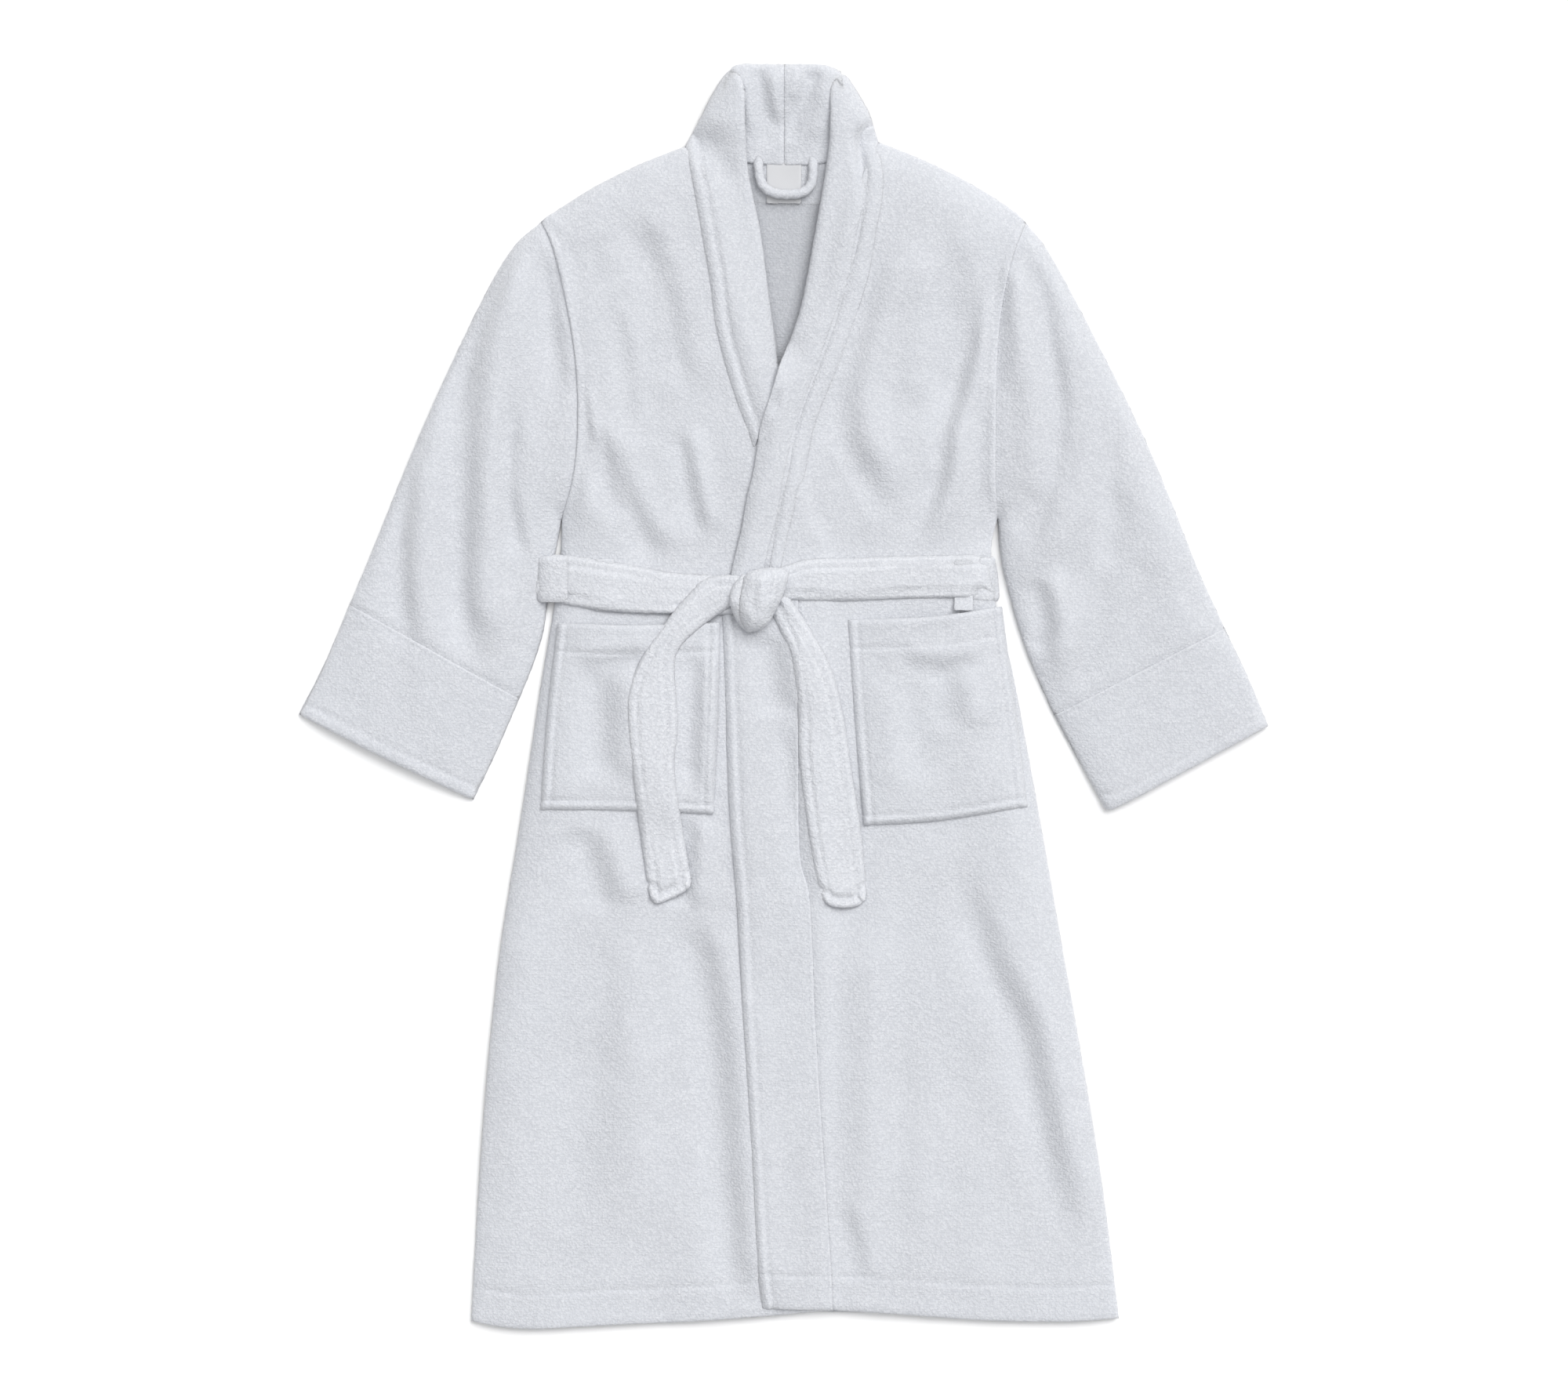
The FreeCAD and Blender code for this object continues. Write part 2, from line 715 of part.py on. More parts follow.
def build_belt_loop(side, name, front_top):
    """The narrow strip of cloth at the side of the waist that keeps the belt up."""
    half = D["belt_loop_width"] * 0.5
    reach = D["belt_loop_length"] * 0.5
    middle = D["belt_loop_half"]
    points = mirrored(box_points(middle - half, middle + half,
                                 D["belt_level"] - reach, D["belt_level"] + reach), side)
    slab("belt_loop_" + name, points, front_top, front_top + D["trim"])


# --- the whole robe -------------------------------------------------------------------------

def build_robe():
    build_back_panel()
    build_under_front()
    build_over_front()
    build_front_band()
    build_corner()
    for side, name, front_top in ((-1, "left", D["under_front_top"]), (1, "right", D["over_front_top"])):
        build_sleeve(side, name)
        build_cuff(side, name)
        build_pocket(side, name, front_top)
        build_belt_loop(side, name, front_top)
    build_collar_left()
    build_collar_right()
    build_neck_trim()
    build_hanging_loop()
    build_belt()
    doc.recompute()


def check_and_export():
    """Stops on any failed object, then writes every piece to its own file."""
    for item in doc.Objects:
        if "Invalid" in item.State or "Error" in item.State:
            raise RuntimeError(f"{item.Name} failed: {item.State}")
    bodies = [item for item in doc.Objects if item.TypeId == "PartDesign::Body"]
    for body in bodies:
        if body.Shape.isNull() or not body.Shape.isValid() or len(body.Shape.Solids) != 1:
            raise RuntimeError(f"{body.Label} has no single valid solid")
    os.makedirs("parts", exist_ok=True)
    for body in bodies:
        body.Shape.exportStep(f"parts/{body.Label}.step")
        box = body.Shape.BoundBox
        print(f"{body.Label:20s} {body.Shape.Volume / 1000:9.1f} cm3  "
              f"z {box.ZMin:6.1f} to {box.ZMax:6.1f}  y {box.YMin:7.1f} to {box.YMax:7.1f}  "
              f"x {box.XMin:7.1f} to {box.XMax:7.1f}")


build_robe()
check_and_export()
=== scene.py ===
"""The looks of a terry bathrobe that lies flat on its back with its belt tied.

Every piece of cloth is a closed sheet a few millimetres thick. Its outline is a loop of named edges, and
its height comes from what lies under it, the air inside the garment, the folds and the seams. Outlines and
folds are in millimetres in the frame of the CAD model, and meshes are in metres.
"""

import json
import math

import bpy
import numpy as np
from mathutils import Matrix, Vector
from mathutils.geometry import delaunay_2d_cdt


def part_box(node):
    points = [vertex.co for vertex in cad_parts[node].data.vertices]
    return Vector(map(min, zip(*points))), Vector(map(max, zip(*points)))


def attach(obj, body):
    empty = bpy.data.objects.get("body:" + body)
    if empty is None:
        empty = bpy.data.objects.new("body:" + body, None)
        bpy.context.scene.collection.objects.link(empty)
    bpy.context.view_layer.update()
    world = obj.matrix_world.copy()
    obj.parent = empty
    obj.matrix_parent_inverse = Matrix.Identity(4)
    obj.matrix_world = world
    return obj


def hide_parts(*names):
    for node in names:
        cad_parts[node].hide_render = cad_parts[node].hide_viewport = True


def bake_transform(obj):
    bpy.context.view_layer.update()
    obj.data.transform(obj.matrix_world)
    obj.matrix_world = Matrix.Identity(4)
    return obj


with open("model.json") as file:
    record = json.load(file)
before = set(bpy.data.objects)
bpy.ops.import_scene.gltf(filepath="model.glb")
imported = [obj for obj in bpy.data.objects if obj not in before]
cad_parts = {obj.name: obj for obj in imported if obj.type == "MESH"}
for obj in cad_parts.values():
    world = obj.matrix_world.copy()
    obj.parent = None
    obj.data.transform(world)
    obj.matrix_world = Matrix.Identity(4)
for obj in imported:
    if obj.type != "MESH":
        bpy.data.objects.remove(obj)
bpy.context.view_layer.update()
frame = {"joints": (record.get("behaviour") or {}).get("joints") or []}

MM = 0.001


def top_mm(node):
    """Height of the top of a CAD node, in millimetres."""
    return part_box(node)[1].z / MM


CLOTH = 4.6            # thickness of one layer of terry
HALF = CLOTH / 2
FLOOR_GAP = 0.7        # what the pile keeps between a sheet and the floor
LYING = FLOOR_GAP + HALF               # the middle of a single layer on the floor
SLEEVE_PUFF = top_mm("sleeve_left") - 6       # height of a sleeve where it is fullest
HEM_STITCHES, ARMHOLE_STITCHES, POCKET_STITCHES = 34, 8, 9     # distance of a seam from its edge
ARMHOLE_SUNK = 4.2     # how far the edge of a front is pressed into the sleeve under it
KNOT_UP = 10.5         # the middle of the knot's front wrap over what it covers
SIDES = ((-1, "left"), (1, "right"))


# --- curves, distances and noise -------------------------------------------------------------

def smooth_path(points, step=3.0):
    """A smooth curve through the points, sampled about every step millimetres."""
    p = np.array(points, float)
    if len(p) == 2:
        fine = p
    else:
        ext = np.vstack([2 * p[0] - p[1], p, 2 * p[-1] - p[-2]])
        t = np.linspace(0, 1, 24, endpoint=False)[:, None]
        parts = []
        for i in range(1, len(ext) - 2):
            a, b, c, d = ext[i - 1:i + 3]
            parts.append(0.5 * (2 * b + (c - a) * t + (2 * a - 5 * b + 4 * c - d) * t ** 2
                                + (3 * b - a - 3 * c + d) * t ** 3))
        fine = np.vstack(parts + [p[-1:]])
    lengths = np.r_[0, np.cumsum(np.hypot(*np.diff(fine, axis=0).T))]
    count = max(2, int(round(lengths[-1] / step)) + 1)
    at = np.linspace(0, lengths[-1], count)
    return np.column_stack([np.interp(at, lengths, fine[:, k]) for k in (0, 1)])


def distance(x, y, path):
    """Distance to a path, the length along it to the nearest place, and the side (left is positive)."""
    best = np.full(x.shape, 1e18)
    along = np.zeros(x.shape)
    side = np.ones(x.shape)
    run = 0.0
    for (ax, ay), (bx, by) in zip(path[:-1], path[1:]):
        dx, dy = bx - ax, by - ay
        length = math.hypot(dx, dy)
        if length < 1e-9:
            continue
        t = np.clip(((x - ax) * dx + (y - ay) * dy) / length ** 2, 0, 1)
        ex, ey = x - ax - t * dx, y - ay - t * dy
        d2 = ex * ex + ey * ey
        nearer = d2 < best
        best = np.where(nearer, d2, best)
        along = np.where(nearer, run + t * length, along)
        side = np.where(nearer, np.where(dx * ey - dy * ex >= 0, 1.0, -1.0), side)
        run += length
    return np.sqrt(best), along, side


def inside(x, y, loop):
    """True where a point is inside a closed loop of points."""
    result = np.zeros(x.shape, bool)
    for (ax, ay), (bx, by) in zip(loop, np.roll(loop, -1, axis=0)):
        if ay == by:
            continue
        crosses = (ay > y) != (by > y)
        result ^= crosses & (x < (bx - ax) * (y - ay) / (by - ay) + ax)
    return result


def noise(x, y, size, seed, stretch=1.0):
    """Smooth random bumps between about -1 and 1. size is their width, stretch lengthens them along Y."""
    grid = np.random.default_rng(seed).uniform(-1, 1, (128, 128))
    u, v = x / size + 500, y / (size * stretch) + 500
    i, j = np.floor(u).astype(int), np.floor(v).astype(int)
    fu, fv = u - i, v - j
    fu, fv = fu * fu * (3 - 2 * fu), fv * fv * (3 - 2 * fv)
    low = grid[i % 128, j % 128] * (1 - fu) + grid[(i + 1) % 128, j % 128] * fu
    high = grid[i % 128, (j + 1) % 128] * (1 - fu) + grid[(i + 1) % 128, (j + 1) % 128] * fu
    return low * (1 - fv) + high * fv


def normals(path):
    """Unit vectors that point to the left of a path's direction."""
    tangent = np.gradient(path, axis=0)
    tangent /= np.hypot(*tangent.T)[:, None]
    return np.column_stack([-tangent[:, 1], tangent[:, 0]])


def offset(points, amount):
    """The path moved sideways by an amount, to the left of its direction if it is positive."""
    path = smooth_path(points, 4)
    return (path + amount * normals(path)).tolist()


def smoothstep(low, high, value):
    t = np.clip((value - low) / (high - low), 0, 1)
    return t * t * (3 - 2 * t)


def soft_max(a, b, blend=4.0):
    return 0.5 * (a + b + np.sqrt((a - b) ** 2 + blend ** 2))


def bulge(d, radius):
    """A quarter round: 0 at distance 0, 1 from radius on."""
    t = np.clip(d / radius, 0, 1)
    return np.sqrt(np.clip(1 - (1 - t) ** 2, 0, 1))


def swell(d, at, width):
    """A bell of height 1 at a distance from an edge."""
    return np.exp(-((d - at) / width) ** 2)


def nearest(near, *edges):
    """Distance to the nearest of the edges named."""
    return np.minimum.reduce([near[edge][0] for edge in edges])


def beside_line(x, y, points, ends):
    """Distance to a line, the side of it, and a fade over a share of its length at both ends."""
    path = smooth_path(points, 12)
    d, along, side = distance(x, y, path)
    total = np.hypot(*np.diff(path, axis=0).T).sum()
    return d, side, smoothstep(0, ends * total, along) * smoothstep(0, ends * total, total - along)


def fold(x, y, points, height, width, lean=0.0, ends=0.3):
    """A ridge, or a hollow if height is negative, along a line.

    lean makes it steeper on one side: positive means steep on the left of the line's direction."""
    d, side, fade = beside_line(x, y, points, ends)
    share = d / (width * (1 - lean * side))
    if height < 0:
        share = np.sqrt(share ** 2 + 0.02) ** 0.62 - 0.297      # a hollow is sharper than a ridge
    return height * np.exp(-share ** 2) * fade


def folds(x, y, rows):
    return sum(fold(x, y, *row) for row in rows)


def flank(x, y, points, height, width, ends=0.22):
    """The side of a soft fold: the cloth climbs from the right to the left of the line's direction."""
    d, side, fade = beside_line(x, y, points, ends)
    share = d / width
    return height * side * share * np.exp(-share ** 2) * fade


def flanks(x, y, rows):
    return sum(flank(x, y, *row) for row in rows)


def crumple(x, y, seed, amount=1.0):
    """The small unevenness of thick towelling, longer along the garment than across it."""
    return amount * (1.9 * noise(x, y, 42, seed, 3.2) + 0.7 * noise(x, y, 62, seed + 4)
                     + 0.6 * noise(x, y, 27, seed + 1, 1.5) + 0.28 * noise(x, y, 12, seed + 2)
                     + 0.14 * noise(x, y, 6, seed + 3))


def seam(d, along, at, depth, width=1.6, pucker=0.35, pitch=11.0):
    """A line of stitches at a distance from an edge: a groove of uneven depth with puckers across it."""
    uneven = 1 + 0.35 * np.sin(along / 23.0 + 2.1 * np.sin(along / 61.0))
    groove = -depth * uneven * swell(d, at, width)
    wave = np.sin(2 * np.pi * along / pitch + 2.6 * np.sin(2 * np.pi * along / (pitch * 3.7)))
    strength = 0.4 * (0.6 + 0.4 * np.sin(along / 17.0 + 1.3 * np.sin(along / 39.0)))
    return groove + pucker * strength * wave * swell(d, at, width * 3)


# --- what lies under a piece ------------------------------------------------------------------

class Ground:
    """A height map of the floor and the pieces that lie on it so far."""

    STEP = 2.5
    HALF_X, HALF_Y = 520, 660

    def __init__(self):
        self.x = np.arange(-self.HALF_X, self.HALF_X + 0.1, self.STEP)
        self.y = np.arange(-self.HALF_Y, self.HALF_Y + 0.1, self.STEP)
        self.gx, self.gy = np.meshgrid(self.x, self.y)
        self.z = np.zeros(self.gx.shape)

    def add(self, loop, top):
        """Raises the map inside a loop to the piece's top, given as a function of x and y."""
        low, high = loop.min(0), loop.max(0)
        xs = slice(*np.searchsorted(self.x, (low[0], high[0])))
        ys = slice(*np.searchsorted(self.y, (low[1], high[1])))
        x, y = self.gx[ys, xs], self.gy[ys, xs]
        within = inside(x, y, loop)
        values = np.where(within, top(x.ravel(), y.ravel()).reshape(x.shape), 0)
        self.z[ys, xs] = np.maximum(self.z[ys, xs], values)

    def cover(self, reach=5.0, blur=7.0):
        """How a cloth lies over everything so far: bridged by reach and rounded by blur."""
        z = self.z
        for axis in (0, 1):
            count = int(round(reach / self.STEP))
            widened = z
            for shift in range(-count, count + 1):
                widened = np.maximum(widened, np.roll(z, shift, axis))
            z = widened
        window = max(1, int(round(blur / self.STEP)))
        for axis in (0, 1):
            for _ in range(3):
                z = sum(np.roll(z, shift, axis) for shift in range(-window, window + 1)) / (2 * window + 1)
        return lambda x, y: self.sample(z, x, y)

    def sample(self, z, x, y):
        u = np.clip((x + self.HALF_X) / self.STEP, 0, len(self.x) - 1.001)
        v = np.clip((y + self.HALF_Y) / self.STEP, 0, len(self.y) - 1.001)
        i, j = u.astype(int), v.astype(int)
        fu, fv = u - i, v - j
        low = z[j, i] * (1 - fu) + z[j, i + 1] * fu
        high = z[j + 1, i] * (1 - fu) + z[j + 1, i + 1] * fu
        return low * (1 - fv) + high * fv


ground = Ground()


# --- cutting and shaping a sheet --------------------------------------------------------------

class Cloth:
    """One sheet of cloth: its outline as named edges, and functions for its middle level and half thickness.

    shape(x, y, near) returns the level of the sheet's middle and half its thickness, in millimetres.
    near[edge] is (distance, length along the edge) for every named edge. spacing is the size of the
    triangles, and rim the radius of the rounded edge, which rims changes for single edges.
    """

    def __init__(self, edges, shape, spacing=3.2, rim=2.3, rims=None):
        self.paths = {name: smooth_path(points, min(spacing, 3.0)) for name, points in edges.items()}
        self.shape = shape
        self.spacing = spacing
        self.rims = {name: (rims or {}).get(name, rim) for name in edges}
        self.loop = np.vstack([path[:-1] for path in self.paths.values()])
        ragged = np.random.default_rng(len(self.loop)).normal(0, 0.14, self.loop.shape)
        self.loop = self.loop + np.clip(ragged, -0.3, 0.3)
        following = np.roll(self.loop, -1, axis=0)
        if (self.loop[:, 0] * following[:, 1] - self.loop[:, 1] * following[:, 0]).sum() < 0:
            self.loop = self.loop[::-1]

    def near(self, x, y):
        return {name: distance(x, y, path)[:2] for name, path in self.paths.items()}

    def surfaces(self, x, y):
        """Levels of the upper and lower face."""
        near = self.near(x, y)
        middle, half = self.shape(x, y, near)
        rounding = 1.0
        for name, radius in self.rims.items():
            rounding = rounding * bulge(near[name][0], radius)
        middle = np.maximum(middle, FLOOR_GAP / 2 + half * rounding)
        return middle + half * rounding, middle - half * rounding

    def points(self):
        """Boundary points first, then rings that follow the rounded rim, then an even filling."""
        loop = self.loop
        tangent = np.roll(loop, -1, axis=0) - np.roll(loop, 1, axis=0)
        tangent /= np.maximum(np.hypot(*tangent.T), 1e-9)[:, None]
        inward = np.column_stack([-tangent[:, 1], tangent[:, 0]])
        closed = np.vstack([loop, loop[:1]])
        rim = max(self.rims.values())
        kept = [loop]
        for share in (0.12, 0.42, 0.95):
            inset = rim * share
            ring = loop + inward * inset
            d = distance(ring[:, 0], ring[:, 1], closed)[0]
            good = inside(ring[:, 0], ring[:, 1], loop) & (d > inset * 0.93)
            kept.append(ring[good])
        low, high = loop.min(0), loop.max(0)
        row_step = self.spacing * math.sqrt(3) / 2
        rows = np.arange(low[1], high[1], row_step)
        columns = np.arange(low[0], high[0], self.spacing)
        gx, gy = np.meshgrid(columns, rows)
        gx = gx + np.where(np.arange(len(rows)) % 2, self.spacing / 2, 0)[:, None]
        gx, gy = gx.ravel(), gy.ravel()
        within = inside(gx, gy, loop)
        gx, gy = gx[within], gy[within]
        d = distance(gx, gy, closed)[0]
        good = d > rim * 0.95 + self.spacing * 0.6
        kept.append(np.column_stack([gx[good], gy[good]]))
        return np.vstack(kept)

    def mesh_data(self):
        """Vertices in millimetres and triangles of the closed sheet, whose two faces share the border."""
        flat = self.points()
        count = len(self.loop)
        border = [(i, (i + 1) % count) for i in range(count)]
        made = delaunay_2d_cdt([Vector(p) for p in flat.tolist()], border, [], 1, 1e-5)
        xy = np.array([v[:] for v in made[0]])
        faces = np.array([f for f in made[2] if len(f) == 3])
        on_border = np.array([any(k < count for k in origin) for origin in made[3]])
        upper, lower = self.surfaces(xy[:, 0], xy[:, 1])
        index_low = np.arange(len(xy)) + len(xy)
        index_low[on_border] = np.arange(len(xy))[on_border]
        middle = (upper + lower) / 2
        upper[on_border] = middle[on_border]
        vertices = np.vstack([np.column_stack([xy, upper]), np.column_stack([xy, lower])])
        triangles = np.vstack([faces, index_low[faces][:, ::-1]])
        used = np.unique(triangles)
        renumber = np.full(len(vertices), -1)
        renumber[used] = np.arange(len(used))
        return vertices[used], renumber[triangles].tolist()

    def lie_on_ground(self):
        ground.add(self.loop, lambda x, y: self.surfaces(x, y)[0])


def link(thing):
    bpy.context.scene.collection.objects.link(thing)
    return thing


def mesh_object(name, parts, material):
    """Joins (vertices, faces) parts into one smooth mesh object. Vertices are in millimetres."""
    vertices, faces, shift = [], [], 0
    for v, f in parts:
        vertices.append(v)
        faces += [[corner + shift for corner in face] for face in f]
        shift += len(v)
    mesh = bpy.data.meshes.new(name)
    mesh.from_pydata((np.vstack(vertices) * MM).tolist(), [], faces)
    mesh.validate()
    mesh.shade_smooth()
    mesh.materials.append(material)
    return link(bpy.data.objects.new(name + "_cloth", mesh))


def declare(piece, name, slot, nodes=(), held="laid", rests_on=(), flat=None, body="robe", blend=None):
    """Parents the piece to its body, or bakes its transform when it is blended, and hides the CAD nodes it
    stands for."""
    if blend:
        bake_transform(piece)
    else:
        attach(piece, body)
    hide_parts(*(nodes or [name]))
    rests_on = [under + "_cloth" for under in rests_on]
    if flat:
        return


def sheet_piece(name, sheets, material, slot, **how):
    piece = mesh_object(name, [s.mesh_data() for s in sheets], material)
    for s in sheets:
        s.lie_on_ground()
    declare(piece, name, slot, **how)


# --- materials --------------------------------------------------------------------------------

def start_material(name, shader_inputs):
    """A new node material and its shader, with functions that fill inputs, add a node and set the bump."""
    material = bpy.data.materials.new(name)
    material.use_nodes = True
    tree = material.node_tree
    shader = tree.nodes["Principled BSDF"]

    def fill(node, inputs):
        for key, value in inputs.items():
            if isinstance(value, bpy.types.NodeSocket):
                tree.links.new(value, node.inputs[key])
            else:
                node.inputs[key].default_value = value

    def add(kind, inputs, **settings):
        node = tree.nodes.new("ShaderNode" + kind)
        for key, value in settings.items():
            setattr(node, key, value)
        fill(node, inputs)
        return node

    def bump(height, strength, depth):
        """Drives the shader's normal from a height; depth is in millimetres."""
        relief = add("Bump", {"Strength": strength, "Distance": depth * MM, "Height": height})
        fill(shader, {"Normal": relief.outputs["Normal"]})

    fill(shader, shader_inputs)
    return material, shader, fill, add, bump


def terry(name, color=(0.685, 0.694, 0.722), loop=2.5, depth=1.0, rib=0.12):
    """Cotton towelling: a pile of small loops in faint rows, matt, with a soft sheen.

    loop is the width of a loop in millimetres, depth scales the relief and rib the rows."""
    material, shader, fill, add, bump = start_material(name, {
        "Roughness": 0.92, "Sheen Weight": 0.25, "Sheen Roughness": 0.6, "Specular IOR Level": 0.15,
        "Subsurface Weight": 0.5, "Subsurface Radius": (1, 1, 1), "Subsurface Scale": 4.5 * MM,
    })
    place = add("TexCoord", {}).outputs["Object"]

    def noise_node(size, detail, rough=0.55):
        return add("TexNoise", {"Scale": 1 / (size * MM), "Detail": detail, "Roughness": rough,
                                "Vector": place}).outputs["Fac"]

    def math_node(operation, a, b):
        return add("Math", {0: a, 1: b}, operation=operation).outputs[0]

    def plus(a, b, weight):
        return math_node("ADD", a, math_node("MULTIPLY", b, weight))

    def loops_node(size, smooth):
        cells = add("TexVoronoi", {}, feature="SMOOTH_F1")
        fill(cells, {"Scale": 1 / (size * MM), "Smoothness": smooth, "Vector": curled.outputs["Vector"]})
        return math_node("SUBTRACT", 1.0, cells.outputs["Distance"])

    def tinted(red, green, blue):
        return color[0] * red, color[1] * green, color[2] * blue, 1

    swirl = add("TexNoise", {"Scale": 1 / (2.2 * MM), "Detail": 1, "Vector": place})
    curled = add("VectorMath", {0: swirl.outputs["Color"], 1: (2.4 * MM,) * 3, 2: place},
                 operation="MULTIPLY_ADD")
    rows = add("TexWave", {"Scale": 1 / (loop * MM * 2 * math.pi) * 2.1, "Distortion": 2.5, "Detail": 2,
                           "Detail Scale": 1.6, "Vector": place}, bands_direction="Y")
    pile = plus(loops_node(loop, 0.3), loops_node(loop * 0.6, 0.2), 0.55)
    pile = plus(pile, rows.outputs["Fac"], rib)
    pile = plus(pile, noise_node(3.6, 3, 0.6), 0.75)
    pile = plus(pile, noise_node(13, 2), 0.35)
    tufted = plus(0.55, noise_node(55, 2), 0.9)
    bump(math_node("MULTIPLY", pile, tufted), 0.62, depth)

    # painted shade and painted highlight of the pile: darker between the loops, lighter on their tops
    painted_pile_shade = add("ValToRGB", {"Fac": math_node("MULTIPLY", pile, 0.36)})
    dark, light = painted_pile_shade.color_ramp.elements
    dark.position, light.position = 0.426, 0.726
    dark.color, light.color = tinted(0.80, 0.805, 0.82), tinted(1.05, 1.05, 1.05)
    cloud = add("Mix", {}, data_type="RGBA")
    fill(cloud, {"Factor": math_node("MULTIPLY", noise_node(90, 2), 0.5), "A": painted_pile_shade.outputs["Color"],
                 "B": tinted(0.955, 0.975, 0.99)})
    fill(shader, {"Base Color": cloud.outputs["Result"]})
    return material


# The default grey is darker than bare satin: partly the label's print, partly painted shade of the hanging
# loop over it.
def satin(name, color=(0.53, 0.535, 0.55)):
    """A woven satin ribbon, with fine threads across it."""
    material, *_, add, bump = start_material(name, {"Base Color": (*color, 1), "Roughness": 0.38})
    place = add("TexCoord", {}).outputs["Object"]
    threads = add("TexWave", {"Scale": 420, "Distortion": 0.6, "Vector": place}, bands_direction="Y")
    bump(threads.outputs["Fac"], 0.3, 0.1)
    return material


TERRY = terry("terry_body")
# darker terry for the back panel: painted shade inside the neck opening, under the lapels
TERRY_PAINTED_SHADE = terry("terry_painted_shade", color=(0.56, 0.568, 0.594))
TERRY_BELT = terry("terry_belt", color=(0.715, 0.723, 0.75), loop=2.8, depth=1.2, rib=0.1)
TERRY_TRIM = terry("terry_trim", loop=2.0, depth=0.8)
SATIN = satin("satin_label")


# --- the garment's outlines -------------------------------------------------------------------

NECK = {-1: (-94, 526), 1: (90, 530)}
TIP = {-1: (-232, 454), 1: (231, 453)}
UNDERARM = {-1: (-212, 171), 1: (204, 171)}
SHOULDER = {
    -1: [NECK[-1], (-135, 510), (-180, 488), (-212, 468), TIP[-1]],
    1: [NECK[1], (135, 512), (180, 489), (212, 469), TIP[1]],
}
ARMHOLE = {
    -1: [TIP[-1], (-220, 426), (-206, 366), (-198, 310), (-197, 250), (-202, 205), UNDERARM[-1]],
    1: [TIP[1], (218, 418), (207, 366), (203, 310), (202, 250), (202, 205), UNDERARM[1]],
}
SIDE = {
    -1: [UNDERARM[-1], (-214, 130), (-220, 85), (-233, 6), (-251, -114), (-270, -234), (-283, -354),
         (-292, -474), (-299, -597)],
    1: [UNDERARM[1], (198, 142), (200, 100), (219, 20), (244, -114), (265, -234), (286, -354),
        (305, -474), (320, -594)],
}
SLEEVE_OUTER = {
    -1: [TIP[-1], (-261, 426), (-295, 366), (-350, 246), (-399, 126), (-415, 88)],
    1: [TIP[1], (252, 426), (285, 366), (345, 246), (394, 126), (421, 66)],
}
SLEEVE_INNER = {
    -1: [UNDERARM[-1], (-219, 132), (-226, 90), (-230, 62), (-240, 30), (-253, -2)],
    1: [UNDERARM[1], (207, 134), (215, 98), (224, 66), (236, 32), (258, -18)],
}
CUFF_OUTER = {
    -1: [SLEEVE_OUTER[-1][-1], (-440, 30), (-464, -17)],
    1: [SLEEVE_OUTER[1][-1], (442, 22), (463, -28)],
}
CUFF_INNER = {
    -1: [SLEEVE_INNER[-1][-1], (-276, -55), (-297, -99)],
    1: [SLEEVE_INNER[1][-1], (284, -66), (306, -106)],
}
CUFF_END = {
    -1: [CUFF_OUTER[-1][-1], (-380, -60), CUFF_INNER[-1][-1]],
    1: [CUFF_OUTER[1][-1], (386, -70), (318, -106), CUFF_INNER[1][-1]],
}


def joined(first, second):
    """Two outlines per side, one after the other, as one path."""
    return {side: np.vstack([smooth_path(first[side], 8), smooth_path(second[side], 8)]) for side in (-1, 1)}


SILHOUETTE = joined(SHOULDER, SIDE)
ARM_OUTER = joined(SLEEVE_OUTER, CUFF_OUTER)
ARM_INNER = joined(SLEEVE_INNER, CUFF_INNER)

LAP_EDGE = [(-60, 96), (-59, 73), (-56, -9), (-52, -114), (-45, -196), (-39, -309), (-32, -421),
            (-26, -534), (-21, -584)]
BAND_SEAM = [(14, 96), (14, -10), (15, -144), (25, -196), (30, -309), (37, -421), (45, -540), (47, -586)]
HEM_RIGHT = [(47, -586), (110, -590), (194, -596), (270, -597), (320, -594)]
HEM_LEFT = [(-299, -597), (-270, -602), (-235, -604), (-160, -600), (-91, -597), (-20, -592), (44, -586)]

LAPEL_LEFT_EDGE = [(-94, 526), (-88, 490), (-79, 441), (-71, 395), (-65, 349), (-49, 290), (-29, 235)]
LAPEL_LEFT_FOLD = [(-6, 318), (-9, 345), (-14, 379), (-22, 441), (-34, 501), (-37, 545), (-37, 584)]
LAPEL_RIGHT_FOLD = [(44, 575), (43, 527), (33, 463), (19, 385), (10, 352), (-3, 319), (-13, 286), (-23, 254),
                    (-29, 216), (-35, 191), (-41, 158), (-49, 125), (-53, 100)]
LAPEL_RIGHT_EDGE = [(-2, 100), (2, 124), (11, 166), (20, 210), (32, 262), (53, 318), (77, 388), (88, 437),
                    (96, 486), (90, 530)]


# --- how high the garment stands --------------------------------------------------------------

OUTER_ROLL = 44         # how far from the silhouette the cloth rolls down to the floor


def body_air(y):
    """Height of the front over the floor where the garment is full, along its length."""
    return np.interp(y, (-610, -560, -420, -160, 0, 88, 138, 210, 350, 470, 540),
                     (6, 8, 11, 15, 16, 12, 12, 16, 19, 18, 16))


def body_level(x, y, side):
    """The middle of a front panel: full inside, rolled down to the floor at the side and the shoulder."""
    d = distance(x, y, SILHOUETTE[side])[0]
    return LYING + body_air(y) * bulge(d, OUTER_ROLL)


def arm_level(x, y, side):
    """The middle of a sleeve's upper side: rolled down to the floor at its outer and inner edge."""
    outer = distance(x, y, ARM_OUTER[side])[0]
    inner = distance(x, y, ARM_INNER[side])[0]
    full = np.interp(y, (-110, 0, 90, 170, 250, 460),
                     (8, 9, 12, 16, SLEEVE_PUFF - 1, SLEEVE_PUFF - 2))
    return LYING + full * bulge(outer, OUTER_ROLL) * bulge(inner, 50)


